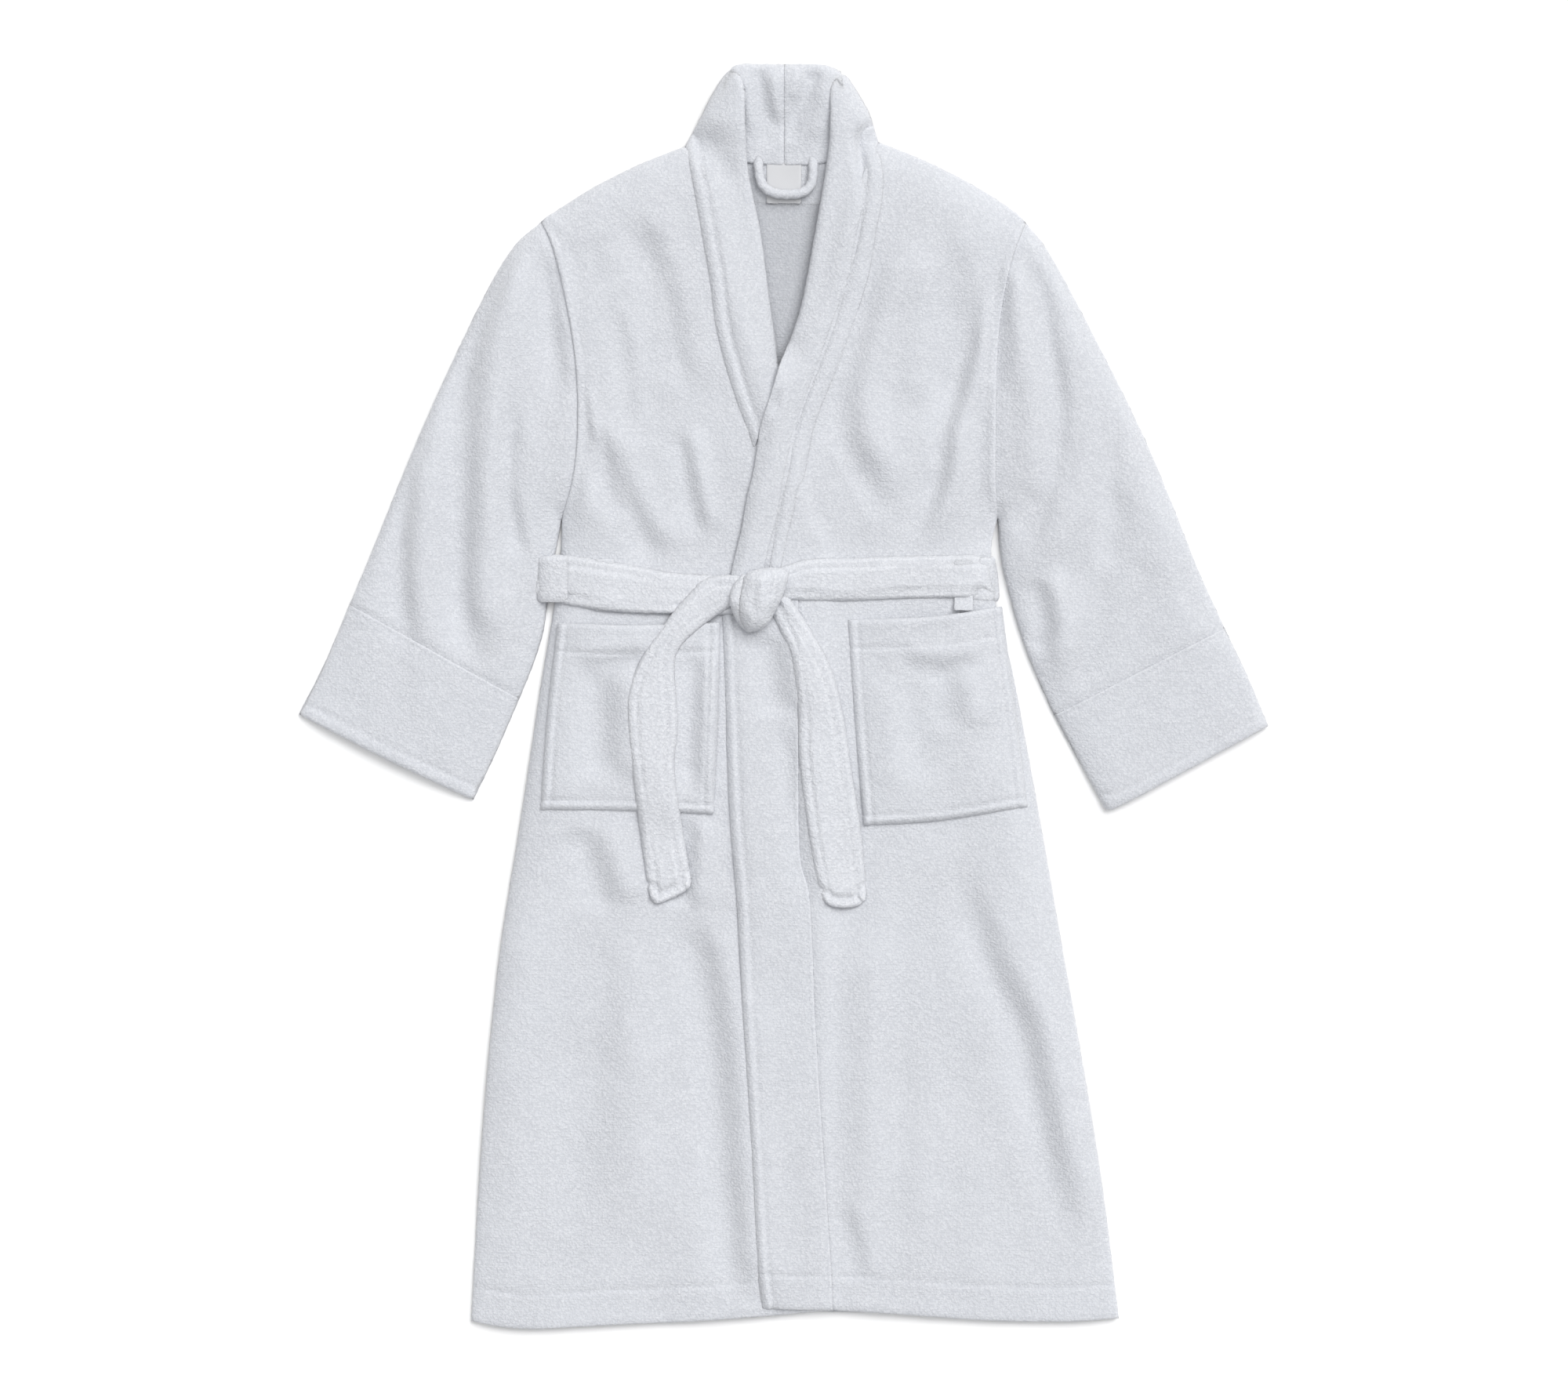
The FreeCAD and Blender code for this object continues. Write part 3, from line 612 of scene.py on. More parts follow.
BODY_FOLDS = {
    -1: [
        ([(-186, 440), (-176, 410), (-164, 380)], -3.5, 11),
        ([(-150, 400), (-143, 320), (-130, 240)], -6.0, 14, -0.2),
        ([(-128, 420), (-112, 334), (-98, 262)], 5.0, 13, 0.35),
        ([(-108, 470), (-96, 380), (-82, 300)], -7.0, 15, -0.2),
        ([(-176, 290), (-163, 226), (-150, 165), (-130, 138)], 6.0, 13, 0.35),
        ([(-136, 240), (-128, 200), (-104, 150)], -5.0, 16),
        ([(-92, 240), (-84, 200), (-70, 150)], 3.0, 12),
        ([(-190, 400), (-192, 320), (-186, 250)], 3.5, 11),
        ([(-102, -125), (-94, -280), (-72, -500)], -6.0, 20, 0.2),
        ([(-142, -120), (-148, -300), (-132, -540)], 4.5, 24),
        ([(-192, -116), (-208, -300), (-200, -520)], -4.5, 21),
        ([(-240, -130), (-256, -320), (-262, -540)], 3.5, 20),
        ([(-62, -60), (-60, -130), (-56, -200)], -3.0, 10),
        ([(-190, -112), (-150, -134), (-110, -128)], -3.5, 11),
    ],
    1: [
        ([(118, 410), (116, 322), (110, 240)], -9.0, 30),
        ([(90, 440), (72, 373), (47, 305), (34, 250)], 4.0, 13),
        ([(36, 262), (62, 208), (94, 146)], 5.0, 11, -0.2),
        ([(176, 280), (152, 190), (126, 140)], 5.0, 12, 0.2),
        ([(192, 300), (164, 230), (138, 172)], -4.5, 10),
        ([(160, 470), (178, 400), (180, 320)], 4.0, 17),
        ([(76, 160), (84, 200), (96, 240)], -4.0, 11),
        ([(112, 142), (122, 180), (140, 225)], -3.5, 10),
        ([(64, -50), (70, -130), (60, -260)], -5.0, 14),
        ([(92, -128), (102, -300), (96, -575)], 6.0, 18, 0.25),
        ([(128, -130), (140, -300), (146, -520)], -4.5, 19),
        ([(178, -112), (206, -270), (262, -450)], -6.5, 20, -0.2),
        ([(214, -104), (244, -270), (284, -470)], 4.5, 18),
        ([(172, -400), (178, -500), (184, -585)], 4.0, 19),
        ([(120, -132), (170, -126), (214, -116)], -3.0, 9),
    ],
}
ARM_FOLDS = {
    -1: [
        ([(-252, 430), (-270, 320), (-276, 200), (-280, 90)], 5.5, 15, -0.35),
        ([(-282, 400), (-296, 300), (-301, 200), (-306, 90), (-290, 24)], -9.5, 11, 0.25, 0.22),
        ([(-322, 300), (-332, 200), (-332, 90), (-322, 30)], 5.5, 13, -0.25),
        ([(-350, 230), (-361, 130), (-361, 80), (-344, 30)], -7.5, 11, 0.2),
        ([(-386, 160), (-394, 110), (-404, 60)], 3.0, 12),
        ([(-250, 270), (-258, 206), (-254, 152), (-238, 130)], -8.5, 8, -0.3),
        ([(-232, 260), (-238, 200), (-232, 158)], 5.5, 11),
        ([(-214, 425), (-221, 366), (-216, 305)], -5.0, 10),
        ([(-262, 120), (-266, 60), (-276, 0)], 4.5, 12),
    ],
    1: [
        ([(232, 440), (256, 363), (271, 285), (266, 216), (246, 148), (234, 100)], 8.0, 12, 0.35, 0.2),
        ([(264, 410), (284, 310), (286, 230), (272, 150), (262, 60)], -8.5, 12, -0.25, 0.22),
        ([(282, 370), (305, 275), (300, 197), (295, 120), (288, 40)], 6.0, 12, 0.3, 0.22),
        ([(318, 310), (322, 240), (316, 160), (312, 90)], -6.0, 14),
        ([(340, 250), (356, 170), (366, 90)], 4.0, 15),
        ([(378, 170), (394, 110), (408, 60)], -3.0, 14),
        ([(240, 200), (226, 170), (214, 160)], -5.0, 8),
        ([(216, 420), (212, 350), (214, 280)], -3.5, 9),
    ],
}


BODY_FLANKS = {
    -1: [
        ([(-140, 470), (-118, 420), (-104, 365), (-96, 320), (-92, 285)], 9.8, 21),
        ([(-160, 380), (-150, 340), (-145, 300), (-141, 240)], 4.1, 12),
        ([(-172, 260), (-158, 220), (-144, 185), (-126, 155), (-104, 130)], 9.1, 18),
        ([(-188, 260), (-182, 210), (-168, 160)], -5.8, 18),
        ([(-96, 260), (-88, 220), (-82, 190), (-72, 150)], 7.3, 12),
        ([(-196, 300), (-188, 270), (-184, 240), (-190, 212)], 6.7, 8),
        ([(-82, -205), (-67, -260), (-57, -320), (-50, -400), (-43, -500), (-35, -580)], 12.5, 21, 0.12),
        ([(-170, -300), (-176, -400), (-172, -520)], 5.8, 33),
        ([(-184, -118), (-170, -165), (-158, -205)], 11.5, 21),
        ([(-84, -112), (-86, -160), (-92, -205)], 11.5, 14),
        ([(-150, -230), (-158, -300), (-150, -380)], 4.1, 24),
    ],
    1: [
        ([(112, 440), (94, 400), (80, 350), (68, 300), (66, 262), (76, 225), (94, 200), (114, 175)],
         10.8, 21),
        ([(150, 440), (145, 380), (140, 320), (138, 265)], -8.3, 24),
        ([(196, 400), (188, 360), (180, 320), (168, 280), (160, 250), (156, 215), (150, 190), (138, 165),
          (118, 145)], 9.8, 14),
        ([(204, 300), (202, 250), (203, 205)], 6.7, 6),
        ([(170, -140), (188, -200), (208, -260), (234, -310), (250, -380), (266, -450), (286, -530)],
         11.5, 21),
        ([(92, -200), (94, -350), (88, -560)], -7.3, 21),
        ([(60, -480), (72, -520), (80, -560)], 4.1, 12),
        ([(150, -300), (156, -400), (150, -520)], -5.0, 30),
        ([(-6, 66), (0, 20), (8, -20)], 13.3, 21),
        ([(6, -10), (12, -60), (18, -110), (26, -160), (30, -210)], 8.3, 15),
    ],
}
ARM_FLANKS = {
    -1: [
        ([(-262, 440), (-281, 385), (-295, 330), (-300, 250), (-301, 170), (-300, 100), (-290, 60),
          (-278, 25)], 14.4, 22, 0.15),
        ([(-352, 250), (-357, 180), (-358, 110), (-354, 60), (-347, 38)], 8.9, 15),
        ([(-243, 290), (-255, 250), (-260, 210), (-256, 180), (-250, 150), (-243, 125)], 8.9, 12),
        ([(-221, 435), (-216, 380), (-210, 330), (-202, 285)], 7.6, 15),
        ([(-243, 440), (-240, 380), (-236, 320), (-230, 260)], -4.7, 21),
        ([(-355, 40), (-356, 10), (-352, -20)], 3.4, 14),
    ],
    1: [
        ([(236, 445), (251, 400), (263, 350), (272, 300), (276, 255), (272, 215), (261, 180), (250, 150),
          (241, 120)], 11.6, 18, 0.15),
        ([(300, 340), (312, 280), (315, 230), (310, 170)], 6.1, 22),
        ([(244, 120), (251, 95), (256, 70), (253, 48), (246, 34)], 8.9, 14),
        ([(232, 420), (240, 360), (246, 300), (246, 240), (240, 190)], -7.6, 20),
        ([(210, 420), (212, 370), (212, 320), (210, 280)], 5.5, 14),
        ([(330, 200), (326, 160), (322, 120)], 3.4, 18),
        ([(287, 120), (285, 60), (268, 5)], -6.1, 18),
    ],
}


BODY_FOLD_SHARE, ARM_FOLD_SHARE = 0.5, 0.45      # how much of the ridges and hollows above is used
BODICE_STRONGER, RIGHT_ARM_STRONGER = 0.22, 1.18  # flanks above the belt, flanks of the right sleeve


def body_relief(x, y, side):
    bodice = 1 + BODICE_STRONGER * smoothstep(110, 160, y)
    return folds(x, y, BODY_FOLDS[side]) * BODY_FOLD_SHARE + flanks(x, y, BODY_FLANKS[side]) * bodice


def arm_relief(x, y, side):
    stronger = RIGHT_ARM_STRONGER if side > 0 else 1.0
    return folds(x, y, ARM_FOLDS[side]) * ARM_FOLD_SHARE + flanks(x, y, ARM_FLANKS[side]) * stronger


# --- pieces -----------------------------------------------------------------------------------

def back_shape(x, y, near):
    over_belt = 6.2 * smoothstep(78, 92, y) * smoothstep(148, 134, y)
    return LYING + over_belt + crumple(x, y, 11, 0.5) * 0.6, HALF


def build_back():
    edges = {
        "neck": [(84, 524), (40, 513), (0, 510), (-40, 513), (-88, 520)],
        "left": [(-88, 520), (-226, 450), (-196, 366), (-192, 260), (-204, 171), (-214, 85), (-228, 6),
                 (-265, -234), (-287, -474), (-293, -592)],
        "hem": [(-293, -592), (-150, -594), (0, -588), (150, -590), (314, -588)],
        "right": [(314, -588), (300, -474), (259, -234), (217, 6), (198, 92), (196, 171), (195, 260),
                  (200, 366), (225, 449), (84, 524)],
    }
    panel = Cloth(edges, back_shape, spacing=7)
    # the back panel gets the darker terry as painted shade inside the neck opening
    sheet_piece("back_panel", [panel], TERRY_PAINTED_SHADE, "terry_body")


def hem_and_armhole(level, x, y, side, near):
    """Hems a front and brings its edge down onto the sleeve that is sewn under it."""
    free = smoothstep(2, 22, near["shoulder"][0])
    sleeve = arm_level(x, y, side) + arm_relief(x, y, side) * free + crumple(x, y, 41 + side, 0.9)
    hem_d, arm_d = near["hem"][0], near["armhole"][0]
    sewn = smoothstep(20, 1, arm_d)
    level = level * (1 - sewn) + (sleeve + CLOTH - ARMHOLE_SUNK) * sewn
    level = level + seam(*near["hem"], HEM_STITCHES, 1.3, 1.6, 0.5)
    level = level + seam(*near["armhole"], ARMHOLE_STITCHES, 1.2, 1.5, 0.4)
    return level, HALF + 0.8 * swell(hem_d, 6, 8) + 0.4 * swell(arm_d, 4, 4)


def front_left_shape(x, y, near):
    level = body_level(x, y, -1) + body_relief(x, y, -1) + crumple(x, y, 21, 0.8)
    return hem_and_armhole(level, x, y, -1, near)


def build_front_left():
    edges = {
        "shoulder": SHOULDER[-1],
        "armhole": ARMHOLE[-1],
        "side": SIDE[-1],
        "hem": HEM_LEFT,
        "free": [(44, -586), (44, 60), (24, 180), (-16, 300), (-46, 400), (-62, 480), (-94, 526)],
    }
    panel = Cloth(edges, front_left_shape, spacing=3.2, rims={"armhole": 1.5})
    sheet_piece("front_panel_left", [panel], TERRY, "terry_body", rests_on=["back_panel"])


def over_level(x, y, cover):
    return soft_max(body_level(x, y, 1), cover(x, y) + HALF + 0.6, 3.0)


def front_right_shape(cover):
    def shape(x, y, near):
        level = over_level(x, y, cover) + body_relief(x, y, 1) + crumple(x, y, 31, 0.8)
        level, half = hem_and_armhole(level, x, y, 1, near)
        return level - 2.4 * smoothstep(10, 5, near["seam"][0]), half
    return shape


def fold_line():
    """The line along which the lower corner of the right front opens, from the joint, as blend points."""
    joint = next(j for j in frame["joints"] if j["name"] == "corner_fold")
    pivot, axis = Vector(joint["pos_m"]), Vector(joint["axis"]).normalized()
    across = axis.cross(Vector((0, 0, 1)))
    corner = Vector((-0.02, -0.59, pivot.z))
    if (corner - pivot).dot(across) < 0:
        across = -across
    return pivot - across * 0.018, pivot + across * 0.022


def build_front_right():
    cover = ground.cover(6, 6)
    edges = {
        "shoulder": SHOULDER[1][::-1],
        "inner": [NECK[1], (60, 460), (42, 380), (6, 290), (-22, 200), (-40, 130), (-46, 96)],
        "top": [(-46, 96), (14, 96)],
        "seam": offset(BAND_SEAM, -7),
        "hem": HEM_RIGHT,
        "side": SIDE[1][::-1],
        "armhole": ARMHOLE[1][::-1],
    }
    panel = Cloth(edges, front_right_shape(cover), spacing=3.2, rims={"armhole": 1.5})
    blend = ("robe", "front_corner", *fold_line())
    sheet_piece("front_panel_right", [panel], TERRY, "terry_body",
                nodes=["front_panel_right", "front_panel_corner"], rests_on=["back_panel"], blend=blend)

    def band_shape(x, y, near):
        level = over_level(x, y, cover) + crumple(x, y, 31, 0.8) + body_relief(x, y, 1)
        lap_d = near["lap"][0]
        level = level + 0.6 + seam(*near["lap"], 11, 2.0, 1.7, 0.45) + seam(*near["hem"], 33, 1.2)
        level = level + seam(*near["seam"], 3.5, 0.6, 1.2, 0.3)
        level = level - 1.4 * smoothstep(24, 8, lap_d) - 3.0 * smoothstep(8, 0, lap_d)
        return level, 2.4 + 0.9 * swell(lap_d, 5, 4)

    edges = {
        "lap": LAP_EDGE,
        "hem": [LAP_EDGE[-1], (14, -585), BAND_SEAM[-1]],
        "seam": BAND_SEAM[::-1],
        "top": [BAND_SEAM[0], LAP_EDGE[0]],
    }
    band = Cloth(edges, band_shape, spacing=2.6, rim=4, rims={"seam": 1.7, "hem": 3})
    sheet_piece("front_band", [band], TERRY, "terry_band", nodes=["front_band", "front_band_corner"],
                rests_on=["front_panel_left"], blend=blend)


def build_sleeve(side, name):
    body = f"sleeve_{name}_body"
    seam_line = np.array([SLEEVE_OUTER[side][-1], SLEEVE_INNER[side][-1]], float)
    along = (seam_line[1] - seam_line[0]) / np.hypot(*(seam_line[1] - seam_line[0]))
    tucked = (seam_line + 6 * np.array([along[1], -along[0]]) * side * -1).tolist()
    blend = ("robe", body, Vector((side * 0.205, 0.24, 0)), Vector((side * 0.33, 0.11, 0)))

    def upper_shape(x, y, near):
        free = bulge(near["inner"][0], 16) * smoothstep(2, 22, near["outer"][0])
        level = arm_level(x, y, side) + arm_relief(x, y, side) * free
        level = level + crumple(x, y, 41 + side, 0.9)
        level = level - 2.6 * smoothstep(15, 3, near["armhole"][0]) - 2.2 * smoothstep(12, 4, near["cuff"][0])
        level = level + seam(*near["armhole"], 14, 0, 2, 0.6, 17)       # no groove, only the puckers
        return np.maximum(level, LYING), HALF

    def under_shape(x, y, near):
        return LYING + 0.3 * noise(x, y, 40, 5), HALF

    edges = {
        "outer": SLEEVE_OUTER[side],
        "cuff": tucked,
        "inner": SLEEVE_INNER[side][::-1],
        "armhole": offset(ARMHOLE[side][::-1], side * 6),
    }
    upper = Cloth(edges, upper_shape, spacing=3.2)
    under = Cloth(edges, under_shape, spacing=7)
    sheet_piece(f"sleeve_{name}", [upper, under], TERRY, "terry_body", blend=blend)

    def cuff_shape(x, y, near):
        level = arm_level(x, y, side) + crumple(x, y, 41 + side, 0.9) - 0.2
        free = smoothstep(2, 22, nearest(near, "outer", "inner"))
        level = level + arm_relief(x, y, side) * free * (0.35 + 0.65 * smoothstep(60, 0, near["cuff"][0]))
        level = level + seam(*near["end"], 13, 1.3, 1.5, 0.5) + seam(*near["cuff"], 4, 0.8, 1.3, 0.3)
        return level, 2.5 + 0.8 * swell(near["end"][0], 5, 5)

    edges = {
        "cuff": [SLEEVE_INNER[side][-1], SLEEVE_OUTER[side][-1]],
        "outer": CUFF_OUTER[side],
        "end": CUFF_END[side],
        "inner": CUFF_INNER[side][::-1],
    }
    upper = Cloth(edges, cuff_shape, spacing=3.0, rim=3.4, rims={"cuff": 1.2})
    under = Cloth(edges, under_shape, spacing=7)
    sheet_piece(f"cuff_{name}", [upper, under], TERRY, "terry_band", body=body)


POCKET = {
    -1: {"top": [(-61, 71), (-140, 68), (-216, 70)], "side": [(-216, 70), (-226, -20), (-232, -108)],
         "low": [(-232, -108), (-150, -109), (-67, -112)], "inner": [(-67, -112), (-63, -20), (-61, 71)]},
    1: {"top": [(208, 86), (140, 76), (61, 73)], "inner": [(61, 73), (67, -20), (76, -123)],
        "low": [(76, -123), (150, -118), (232, -105)], "side": [(232, -105), (222, -20), (208, 86)]},
}


POCKET_FLANKS = {
    -1: [([(-168, 36), (-164, -20), (-160, -85)], 14.4, 24),
         ([(-78, 56), (-80, 0), (-82, -60), (-84, -100)], 12.8, 16),
         ([(-206, 34), (-170, 38), (-120, 44)], 6.5, 14)],
    1: [([(160, 34), (166, 0), (170, -34)], 8.0, 20), ([(108, 38), (150, 33), (194, 38)], 6.5, 12),
        ([(104, 30), (112, -30), (118, -90)], -6.5, 21)],
}


def build_pocket(side, name):
    cover = ground.cover(5, 8)

    def shape(x, y, near):
        top_d = near["top"][0]
        gape = 3.5 * smoothstep(60, 0, top_d) * smoothstep(8, 50, nearest(near, "side", "inner"))
        sewn = nearest(near, "side", "inner", "low")
        level = cover(x, y) + HALF + 0.6 + gape + 1.5 * smoothstep(6, 40, sewn)
        level = level + crumple(x, y, 61 + side, 0.9) - 3.0 * smoothstep(8, 0, sewn)
        level = level + seam(*near["top"], 27, 1.5) + flanks(x, y, POCKET_FLANKS[side]) * bulge(sewn, 14)
        for edge in ("side", "inner", "low"):
            level = level + seam(*near[edge], POCKET_STITCHES, 2.1, 1.7, 0.5)
        return level, HALF + 1.2 * swell(sewn, 4, 3.5) + 0.7 * swell(top_d, 4, 4)

    patch = Cloth(POCKET[side], shape, spacing=2.6, rim=3.2)
    sheet_piece(f"pocket_{name}", [patch], TERRY, "terry_body", rests_on=[f"front_panel_{name}"])


def build_collar():
    """Both halves of the shawl collar: the stand behind the neck and the lapels in front."""
    def stand_shape(x, y, near):
        gathers = folds(x, y, [
            ([(-27, 606), (-21, 574), (-14, 545), (-8, 522)], -5.5, 7, 0.2, 0.2),
            ([(-37, 604), (-34, 566), (-27, 530)], 2.5, 7),
            ([(-12, 606), (-9, 575), (-5, 545)], 3.0, 6),
            ([(31, 604), (24, 577), (9, 550), (2, 528)], -6.5, 7, 0.25, 0.2),
            ([(14, 604), (12, 588), (8, 566)], 2.5, 6),
            ([(40, 590), (36, 556), (24, 526)], 3.0, 9),
            ([(-46, 596), (-44, 560), (-42, 526)], -2.5, 7),
        ])
        rise = 10 * bulge(near["top"][0], 20) * smoothstep(4, 80, near["neck"][0]) + 4
        level = FLOOR_GAP + 3 + rise + gathers * bulge(near["top"][0], 14) + crumple(x, y, 71, 0.5)
        return np.maximum(level, FLOOR_GAP + 6.4), 2.6

    def tucked_stand_shape(x, y, near):
        level, half = stand_shape(x, y, near)
        return level - 3.0 * smoothstep(-3, 3, x), half

    left_half = {
        "seam": [(5, 603.5), (5, 507)],
        "neck": [(5, 507), (-20, 508), (-60, 512)],
        "side": [(-60, 512), (-62, 560), (-55, 592)],
        "top": [(-55, 592), (-46, 603), (-20, 604), (5, 603.5)],
    }
    right_half = {
        "seam": [(0, 507), (0, 603.8)],
        "top": [(0, 603.8), (20, 604), (40, 603), (54, 597)],
        "side": [(54, 597), (60, 560), (60, 514)],
        "neck": [(60, 514), (30, 508), (0, 507)],
    }

    def roll_level(x, y, outline):
        """The collar beside the neck, rolled down to the floor along its outer silhouette."""
        d = distance(x, y, outline)[0]
        return FLOOR_GAP + 3 + 19 * bulge(d, 34)

    left_stand = Cloth(left_half, tucked_stand_shape, spacing=2.6, rim=3.0)
    right_stand = Cloth(right_half, stand_shape, spacing=2.6, rim=3.0, rims={"seam": 2.0})
    left_stand.lie_on_ground()
    right_stand.lie_on_ground()
    lay = ground.cover(5, 8)

    left_outline = smooth_path([(-37, 604), (-49, 602), (-66, 580), (-80, 553), (-94, 526)], 4)
    right_outline = smooth_path([(40, 604), (52, 601), (70, 578), (82, 556), (90, 530)], 4)

    def left_shape(x, y, near):
        edge_d, fold_d = near["edge"][0], near["fold"][0]
        flat = lay(x, y) + 0.2 + 7.5 * smoothstep(4, 50, edge_d) - 2.8 * smoothstep(8, 0, edge_d)
        beside = roll_level(x, y, left_outline)
        mix = smoothstep(520, 560, y)
        level = flat * (1 - mix) + beside * mix
        level = level + seam(*near["edge"], 13, 2.6, 2.2, 0.5) + crumple(x, y, 81, 0.6)
        return level, 2.2 + 0.8 * swell(edge_d, 6, 5) + 1.2 * smoothstep(24, 4, fold_d)

    left = Cloth({
        "roll": [(-37, 578), (-42, 591), (-52, 598), (-66, 580), (-80, 553), (-94, 526)],
        "edge": LAPEL_LEFT_EDGE,
        "crossing": [(-29, 235), (-12, 272), (-2, 304), (-6, 318)],
        "fold": LAPEL_LEFT_FOLD,
    }, left_shape, spacing=2.8, rim=3.0, rims={"fold": 7, "roll": 4})
    sheet_piece("collar_left", [left_stand, left], TERRY, "terry_collar",
                rests_on=["front_panel_left"])

    lay_over = ground.cover(5, 8)
    rest = ground.cover(1, 2)

    def right_shape(x, y, near):
        edge_d, fold_d = near["edge"][0], near["fold"][0]
        lift = 2.0 + 5.5 * smoothstep(230, 330, y)
        flat = lay_over(x, y) - 3.0 + 3.0 * smoothstep(0, 10, edge_d) + lift * smoothstep(16, 44, edge_d)
        flat = soft_max(flat, 21.5 * smoothstep(305, 350, y) * smoothstep(10, 30, edge_d), 3.0)
        resting = smoothstep(16, 0, fold_d) * smoothstep(300, 270, y)
        flat = flat * (1 - resting) + (rest(x, y) + 3.2) * resting
        beside = roll_level(x, y, right_outline)
        mix = smoothstep(522, 562, y)
        level = flat * (1 - mix) + beside * mix
        level = level + seam(*near["edge"], 18, 4.0, 2.2, 0.5) + crumple(x, y, 91, 0.6)
        rolled = 3.4 * smoothstep(18, 4, fold_d) * smoothstep(315, 350, y) * (1 - mix)
        half = 2.1 + 0.5 * swell(edge_d, 10, 8) + 0.8 * smoothstep(26, 4, fold_d) + rolled
        return level - rolled, half

    right = Cloth({
        "fold": LAPEL_RIGHT_FOLD,
        "foot": [LAPEL_RIGHT_FOLD[-1], LAPEL_RIGHT_EDGE[0]],
        "edge": LAPEL_RIGHT_EDGE,
        "roll": [(90, 530), (82, 556), (70, 578), (59, 593), (49, 590), (43, 575)],
    }, right_shape, spacing=2.8, rim=3.0, rims={"fold": 7.5, "roll": 4})
    sheet_piece("collar_right", [right_stand, right], TERRY, "terry_collar",
                rests_on=["front_panel_right"])


def strip(name, edges, cover, half, rim, seed, stitched, seam_at=9, **how):
    """A belt-like strip that lies over everything under it, with stitches along the edges named."""
    hollow, lift = 2.8, 0.6       # how far the middle sinks between the stitches; gap to what lies below

    def shape(x, y, near):
        inner = nearest(near, *stitched[:2])
        d, along = near[stitched[0]]
        ribs = 0.35 * np.sin((along + 3 * np.sin(along / 11) + 0.15 * d) / 0.75) * smoothstep(16, 6, inner)
        level = cover(x, y) + half + lift + crumple(x, y, seed, 0.6) + ribs
        level = level - hollow * smoothstep(seam_at - 2, seam_at + 7, inner)
        level = level - (half + lift + 0.8) * smoothstep(8, 0, inner)
        if "end" in near:
            level = level - 7 * smoothstep(16, 0, near["end"][0])
        for edge in stitched:
            level = level + seam(*near[edge], seam_at, 4.2, 2.6, 0.6, 9)
        return level, half

    sheet_piece(name, [Cloth(edges, shape, spacing=2.5, rim=rim)], TERRY_BELT, "terry_belt", **how)


def build_belt():
    """The straps across the front, the two tails and the knot over them."""
    bend = Vector((0, 0.040, 0)), Vector((0, 0.005, 0))       # blend points of a tail, where it begins and ends to bend; here they only get its transform baked
    strip("belt_strap_left", {
        "top": [(-30, 114), (-48, 115), (-105, 118), (-150, 126), (-200, 134), (-225, 136)],
        "end": [(-225, 136), (-234, 124), (-239, 110), (-239, 97), (-225, 91)],
        "low": [(-225, 91), (-199, 86), (-174, 82), (-150, 80), (-120, 79), (-60, 78), (-30, 80)],
        "knot": [(-30, 80), (-30, 114)],
    }, ground.cover(5, 10), 3.6, 9, 101, ("top", "low"), 9, rests_on=["front_panel_left"])
    strip("belt_strap_right", {
        "knot": [(-8, 122), (-8, 92)],
        "low": [(-8, 92), (30, 91), (64, 91), (112, 93), (161, 94), (188, 94)],
        "end": [(188, 94), (204, 91), (205, 108), (202, 128), (194, 136)],
        "top": [(194, 136), (160, 135), (110, 134), (64, 132), (24, 131), (6, 126), (-8, 122)],
    }, ground.cover(5, 10), 3.6, 9, 103, ("top", "low"), 8, rests_on=["front_panel_right"])
    strip("belt_tail_left", {
        "outer": [(-36, 114), (-58, 116), (-77, 111), (-90, 98), (-105, 81), (-120, 60), (-136, 36),
                  (-147, 8), (-149, -20), (-143, -82), (-136, -137), (-129, -187)],
        "tip": [(-129, -187), (-123, -197), (-110, -194), (-92, -184), (-88, -176)],
        "inner": [(-88, -176), (-91, -160), (-97, -124), (-104, -68), (-101, -26), (-104, 30), (-96, 50),
                  (-79, 66), (-67, 75), (-50, 85), (-36, 90)],
        "knot": [(-36, 90), (-36, 114)],
    }, ground.cover(5, 9), 3.7, 8, 105, ("outer", "inner", "tip"),
        rests_on=["front_panel_left", "pocket_left"], blend=("robe", "tail_left", *bend))
    strip("belt_tail_right", {
        "inner": [(-16, 84), (-8, 71), (6, 38), (13, -10), (14, -54), (20, -109), (29, -166), (36, -193)],
        "tip": [(36, -193), (46, -200), (64, -201), (76, -196), (79, -188)],
        "outer": [(79, -188), (77, -165), (73, -124), (64, -68), (57, -20), (46, 24), (28, 60), (8, 90),
                  (0, 98)],
        "knot": [(0, 98), (-16, 84)],
    }, ground.cover(5, 9), 3.7, 8, 107, ("outer", "inner", "tip"),
        rests_on=["front_panel_right", "front_band"], blend=("robe", "tail_right", *bend))
    build_knot()


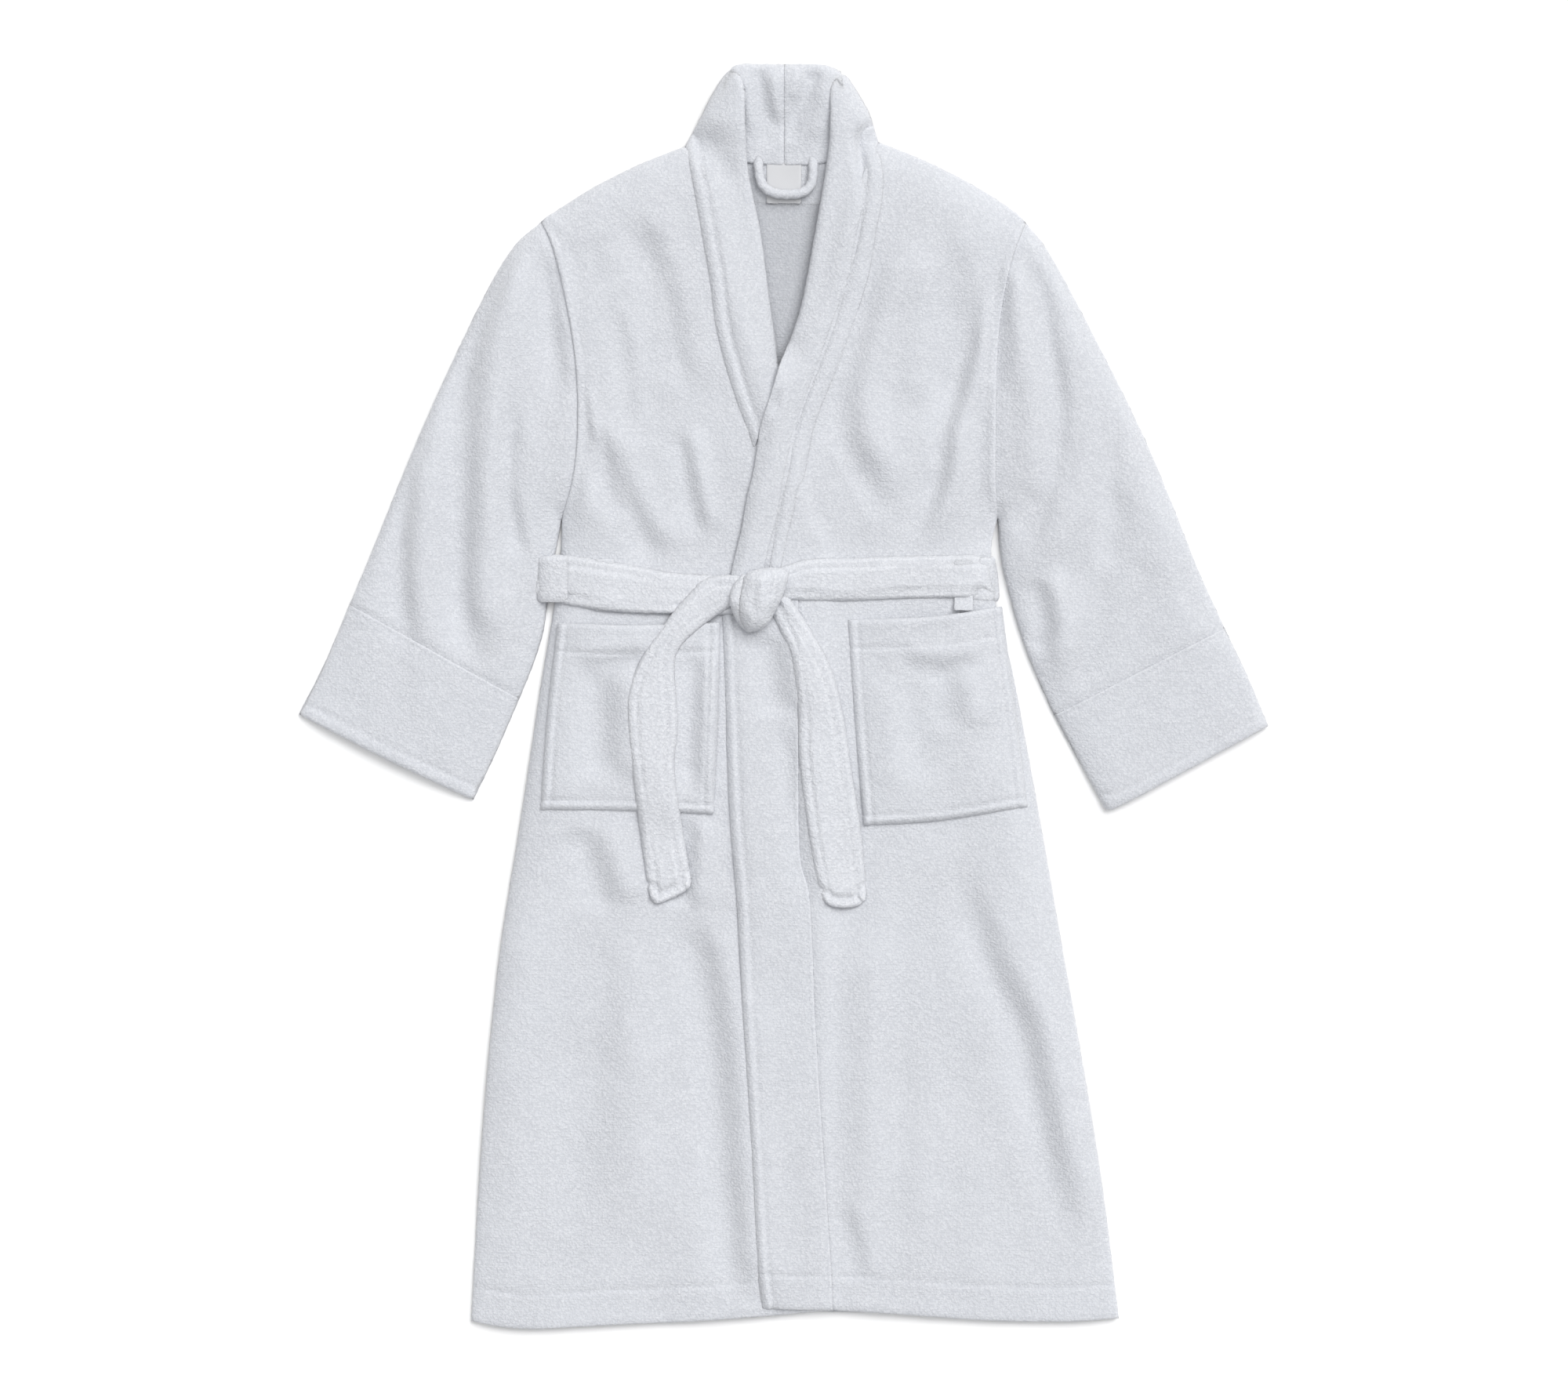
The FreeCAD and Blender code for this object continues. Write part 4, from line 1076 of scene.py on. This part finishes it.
def build_knot():
    """The front wrap of the knot, and the fold behind it that its lower left corner shows."""
    cover = ground.cover(6, 12)

    def behind_shape(x, y, near):
        level = cover(x, y) + 4 + folds(x, y, [([(-52, 98), (-42, 84), (-30, 70)], 3.0, 7)])
        return level + crumple(x, y, 113, 0.7), 5.0

    behind = Cloth({
        "left": [(-40, 116), (-49, 104), (-52, 92), (-50, 82)],
        "low": [(-50, 82), (-44, 70), (-34, 61), (-24, 66)],
        "right": [(-24, 66), (-20, 90), (-26, 114)],
        "top": [(-26, 114), (-40, 116)],
    }, behind_shape, spacing=2.0, rim=7)

    def front_shape(x, y, near):
        creases = folds(x, y, [
            ([(-11, 122), (-12, 108), (-15, 88)], -3.2, 2.6),
            ([(-5, 122), (-6, 110), (-9, 92)], -2.4, 2.2),
            ([(-8, 122), (-9, 108), (-12, 90)], 1.6, 2.2),
            ([(-30, 116), (-29, 98), (-33, 78)], -2.0, 5),
            ([(-22, 120), (-21, 100), (-25, 76)], 2.2, 5),
        ])
        level = cover(x, y) + KNOT_UP + creases + 3.0 * bulge(near["right"][0], 16)
        level = level - 5 * smoothstep(12, 0, nearest(near, "left", "low", "right", "top"))
        return level + crumple(x, y, 117, 0.6), 6.0

    front = Cloth({
        "top": [(5, 117), (-4, 122), (-18, 122), (-32, 119), (-38, 114)],
        "left": [(-38, 114), (-41, 100), (-44, 88), (-42, 74), (-34, 60.5)],
        "low": [(-34, 60.5), (-24, 63), (-16, 68), (-10, 77)],
        "right": [(-10, 77), (-3, 91), (2, 104), (5, 117)],
    }, front_shape, spacing=1.8, rim=8)
    sheet_piece("belt_knot", [behind, front], TERRY_BELT, "terry_belt", held="folded",
                rests_on=["belt_strap_left", "belt_strap_right"])


def rectangle(left, right, low, top):
    return {"top": [(right, top), (left, top)], "left": [(left, top), (left, low)],
            "low": [(left, low), (right, low)], "right": [(right, low), (right, top)]}


def build_neck_trim():
    label_width, label_length = 33, 40

    def facing_shape(x, y, near):
        level = FLOOR_GAP + CLOTH + 0.8 - 2.0 * smoothstep(14, 0, near["low"][0])
        return level + crumple(x, y, 111, 0.25), 1.2

    sheet_piece("back_neck_facing", [Cloth({
        "top": [(48, 513), (0, 513), (-48, 513)], "left": [(-48, 513), (-46, 470)],
        "low": [(-46, 470), (0, 469), (46, 470)], "right": [(46, 470), (48, 513)],
    }, facing_shape, spacing=3, rim=3)], TERRY_TRIM, "terry_trim", rests_on=["back_panel"])

    def label_shape(x, y, near):
        return FLOOR_GAP + CLOTH + 3.0 + 0.35 * noise(x, y, 16, 112), 0.4

    edges = rectangle(-label_width / 2, label_width / 2, 511 - label_length, 511)
    sheet_piece("label", [Cloth(edges, label_shape, spacing=2, rim=0.4)], SATIN, "satin_label",
                flat=(0.033, 0.04), rests_on=["back_neck_facing"])


def tube(points, radius, around=14, step=2.0):
    """A round tube along a smooth path of (x, y, z) points, as vertices and faces."""
    p = np.array(points, float)
    plan = smooth_path(p[:, :2], step)
    lengths = np.r_[0, np.cumsum(np.hypot(*np.diff(p[:, :2], axis=0).T))]
    at = np.linspace(0, lengths[-1], len(plan))
    z = np.interp(at, lengths, p[:, 2])
    line = np.column_stack([plan, z])
    tangent = np.gradient(line, axis=0)
    tangent /= np.linalg.norm(tangent, axis=1)[:, None]
    sideways = np.cross(tangent, (0, 0, 1))
    sideways /= np.linalg.norm(sideways, axis=1)[:, None]
    upward = np.cross(sideways, tangent)
    angle = np.linspace(0, 2 * np.pi, around, endpoint=False)
    ring = sideways[:, None] * np.cos(angle)[None, :, None] + upward[:, None] * np.sin(angle)[None, :, None]
    wobble = 1 + 0.06 * np.sin(at[:, None] * 0.7 + 3 * np.cos(angle)[None])
    vertices = (line[:, None] + ring * (radius * wobble)[:, :, None]).reshape(-1, 3)
    faces = []
    for i in range(len(line) - 1):
        for j in range(around):
            a, b = i * around + j, i * around + (j + 1) % around
            faces.append((a, b, b + around, a + around))
    faces.append(tuple(range(around))[::-1])
    faces.append(tuple(range((len(line) - 1) * around, len(line) * around)))
    return vertices, faces


def build_loops():
    z = FLOOR_GAP + CLOTH + 8
    route = [(-24, 514, z - 7), (-24.5, 505, z - 1), (-21, 489, z), (-11, 481, z + 1), (4, 479, z + 1),
             (18, 481, z + 1), (26, 489, z), (28, 505, z - 1), (27, 514, z - 7)]
    piece = mesh_object("hanging_loop", [tube(route, 4.6)], TERRY_TRIM)
    declare(piece, "hanging_loop", "terry_trim", held="folded", rests_on=["label"], body="loop")
    reach, half_width = 171, 9        # of the belt loops, from the centre line and across
    for side, name in SIDES:
        middle = side * reach
        cover = ground.cover(3, 4)

        def shape(x, y, near):
            return cover(x, y) + 1.6 + crumple(x, y, 121, 0.3), 1.4

        edges = rectangle(middle - half_width, middle + half_width, 82, 131)
        sheet_piece(f"belt_loop_{name}", [Cloth(edges, shape, spacing=2.4, rim=1.4)], TERRY_TRIM,
                    "terry_trim", flat=(0.018, 0.049), rests_on=[f"front_panel_{name}"])


def build_belt_back():
    """The run of the belt behind the waist, turned up round both sides."""
    profile = [(-206, 18), (-222, 17), (-233, 12), (-232, 6), (-214, 3.6), (-120, 3.4), (0, 3.4),
               (120, 3.4), (190, 3.6), (198, 6), (200, 11), (194, 15), (180, 16)]
    path = smooth_path(profile, 5)
    across = np.linspace(90, 134, 15)
    vertices, faces = [], []
    for sign in (1, -1):
        for (px, pz), (nx, nz) in zip(path, normals(path)):
            for y in across:
                rim = bulge(min(y - across[0], across[-1] - y), 3) * 2.6 * sign
                vertices.append((px + nx * rim, y, max(pz + nz * rim, FLOOR_GAP * 0.8)))
    rows, columns = len(path), len(across)
    for layer in (0, 1):
        for i in range(rows - 1):
            for j in range(columns - 1):
                a = layer * rows * columns + i * columns + j
                face = (a, a + 1, a + columns + 1, a + columns)
                faces.append(face if layer else face[::-1])
    piece = mesh_object("belt_back", [(np.array(vertices), faces)], TERRY_BELT)
    declare(piece, "belt_back", "terry_belt")


# --- the set ----------------------------------------------------------------------------------

def build_floor():
    size = 6.0
    mesh = bpy.data.meshes.new("floor")
    corners = [(-size, -size, 0), (size, -size, 0), (size, size, 0), (-size, size, 0)]
    mesh.from_pydata(corners, [], [(0, 1, 2, 3)])
    mesh.materials.append(start_material("floor", {"Base Color": (0.95, 0.95, 0.95, 1), "Roughness": 0.9})[0])
    link(bpy.data.objects.new("floor", mesh))


def add_sun(name, towards, spread, power):
    """A far, wide and soft light: parallel enough that the whole garment is lit alike."""
    light = bpy.data.lights.new(name, "SUN")
    light.angle = math.radians(spread)
    light.energy = power
    lamp = link(bpy.data.objects.new(name, light))
    lamp.rotation_euler = Vector(towards).to_track_quat("-Z", "Y").to_euler()


def light_and_camera():
    world = bpy.data.worlds.new("studio")
    bpy.context.scene.world = world
    world.use_nodes = True
    sky = world.node_tree.nodes["Background"].inputs
    sky["Color"].default_value, sky["Strength"].default_value = (0.985, 0.99, 1.0, 1), 0.35
    add_sun("key", (-0.55, -0.70, -1.15), 40, 2.15)
    add_sun("overhead", (0.05, -0.1, -1.0), 60, 1.1)
    bpy.context.scene.view_settings.view_transform = "Standard"
    camera_data = bpy.data.cameras.new("camera")
    height, view_width = 5.0, 1.5
    camera_data.lens = camera_data.sensor_width * height / view_width
    camera = link(bpy.data.objects.new("camera", camera_data))
    camera.location = (0, 0, height)
    bpy.context.scene.camera = camera


build_belt_back()
build_back()
build_front_left()
for arm_side, arm_name in SIDES:
    build_sleeve(arm_side, arm_name)
build_front_right()
for pocket_side, pocket_name in SIDES:
    build_pocket(pocket_side, pocket_name)
build_neck_trim()
build_loops()
build_collar()
build_belt()
build_floor()
light_and_camera()
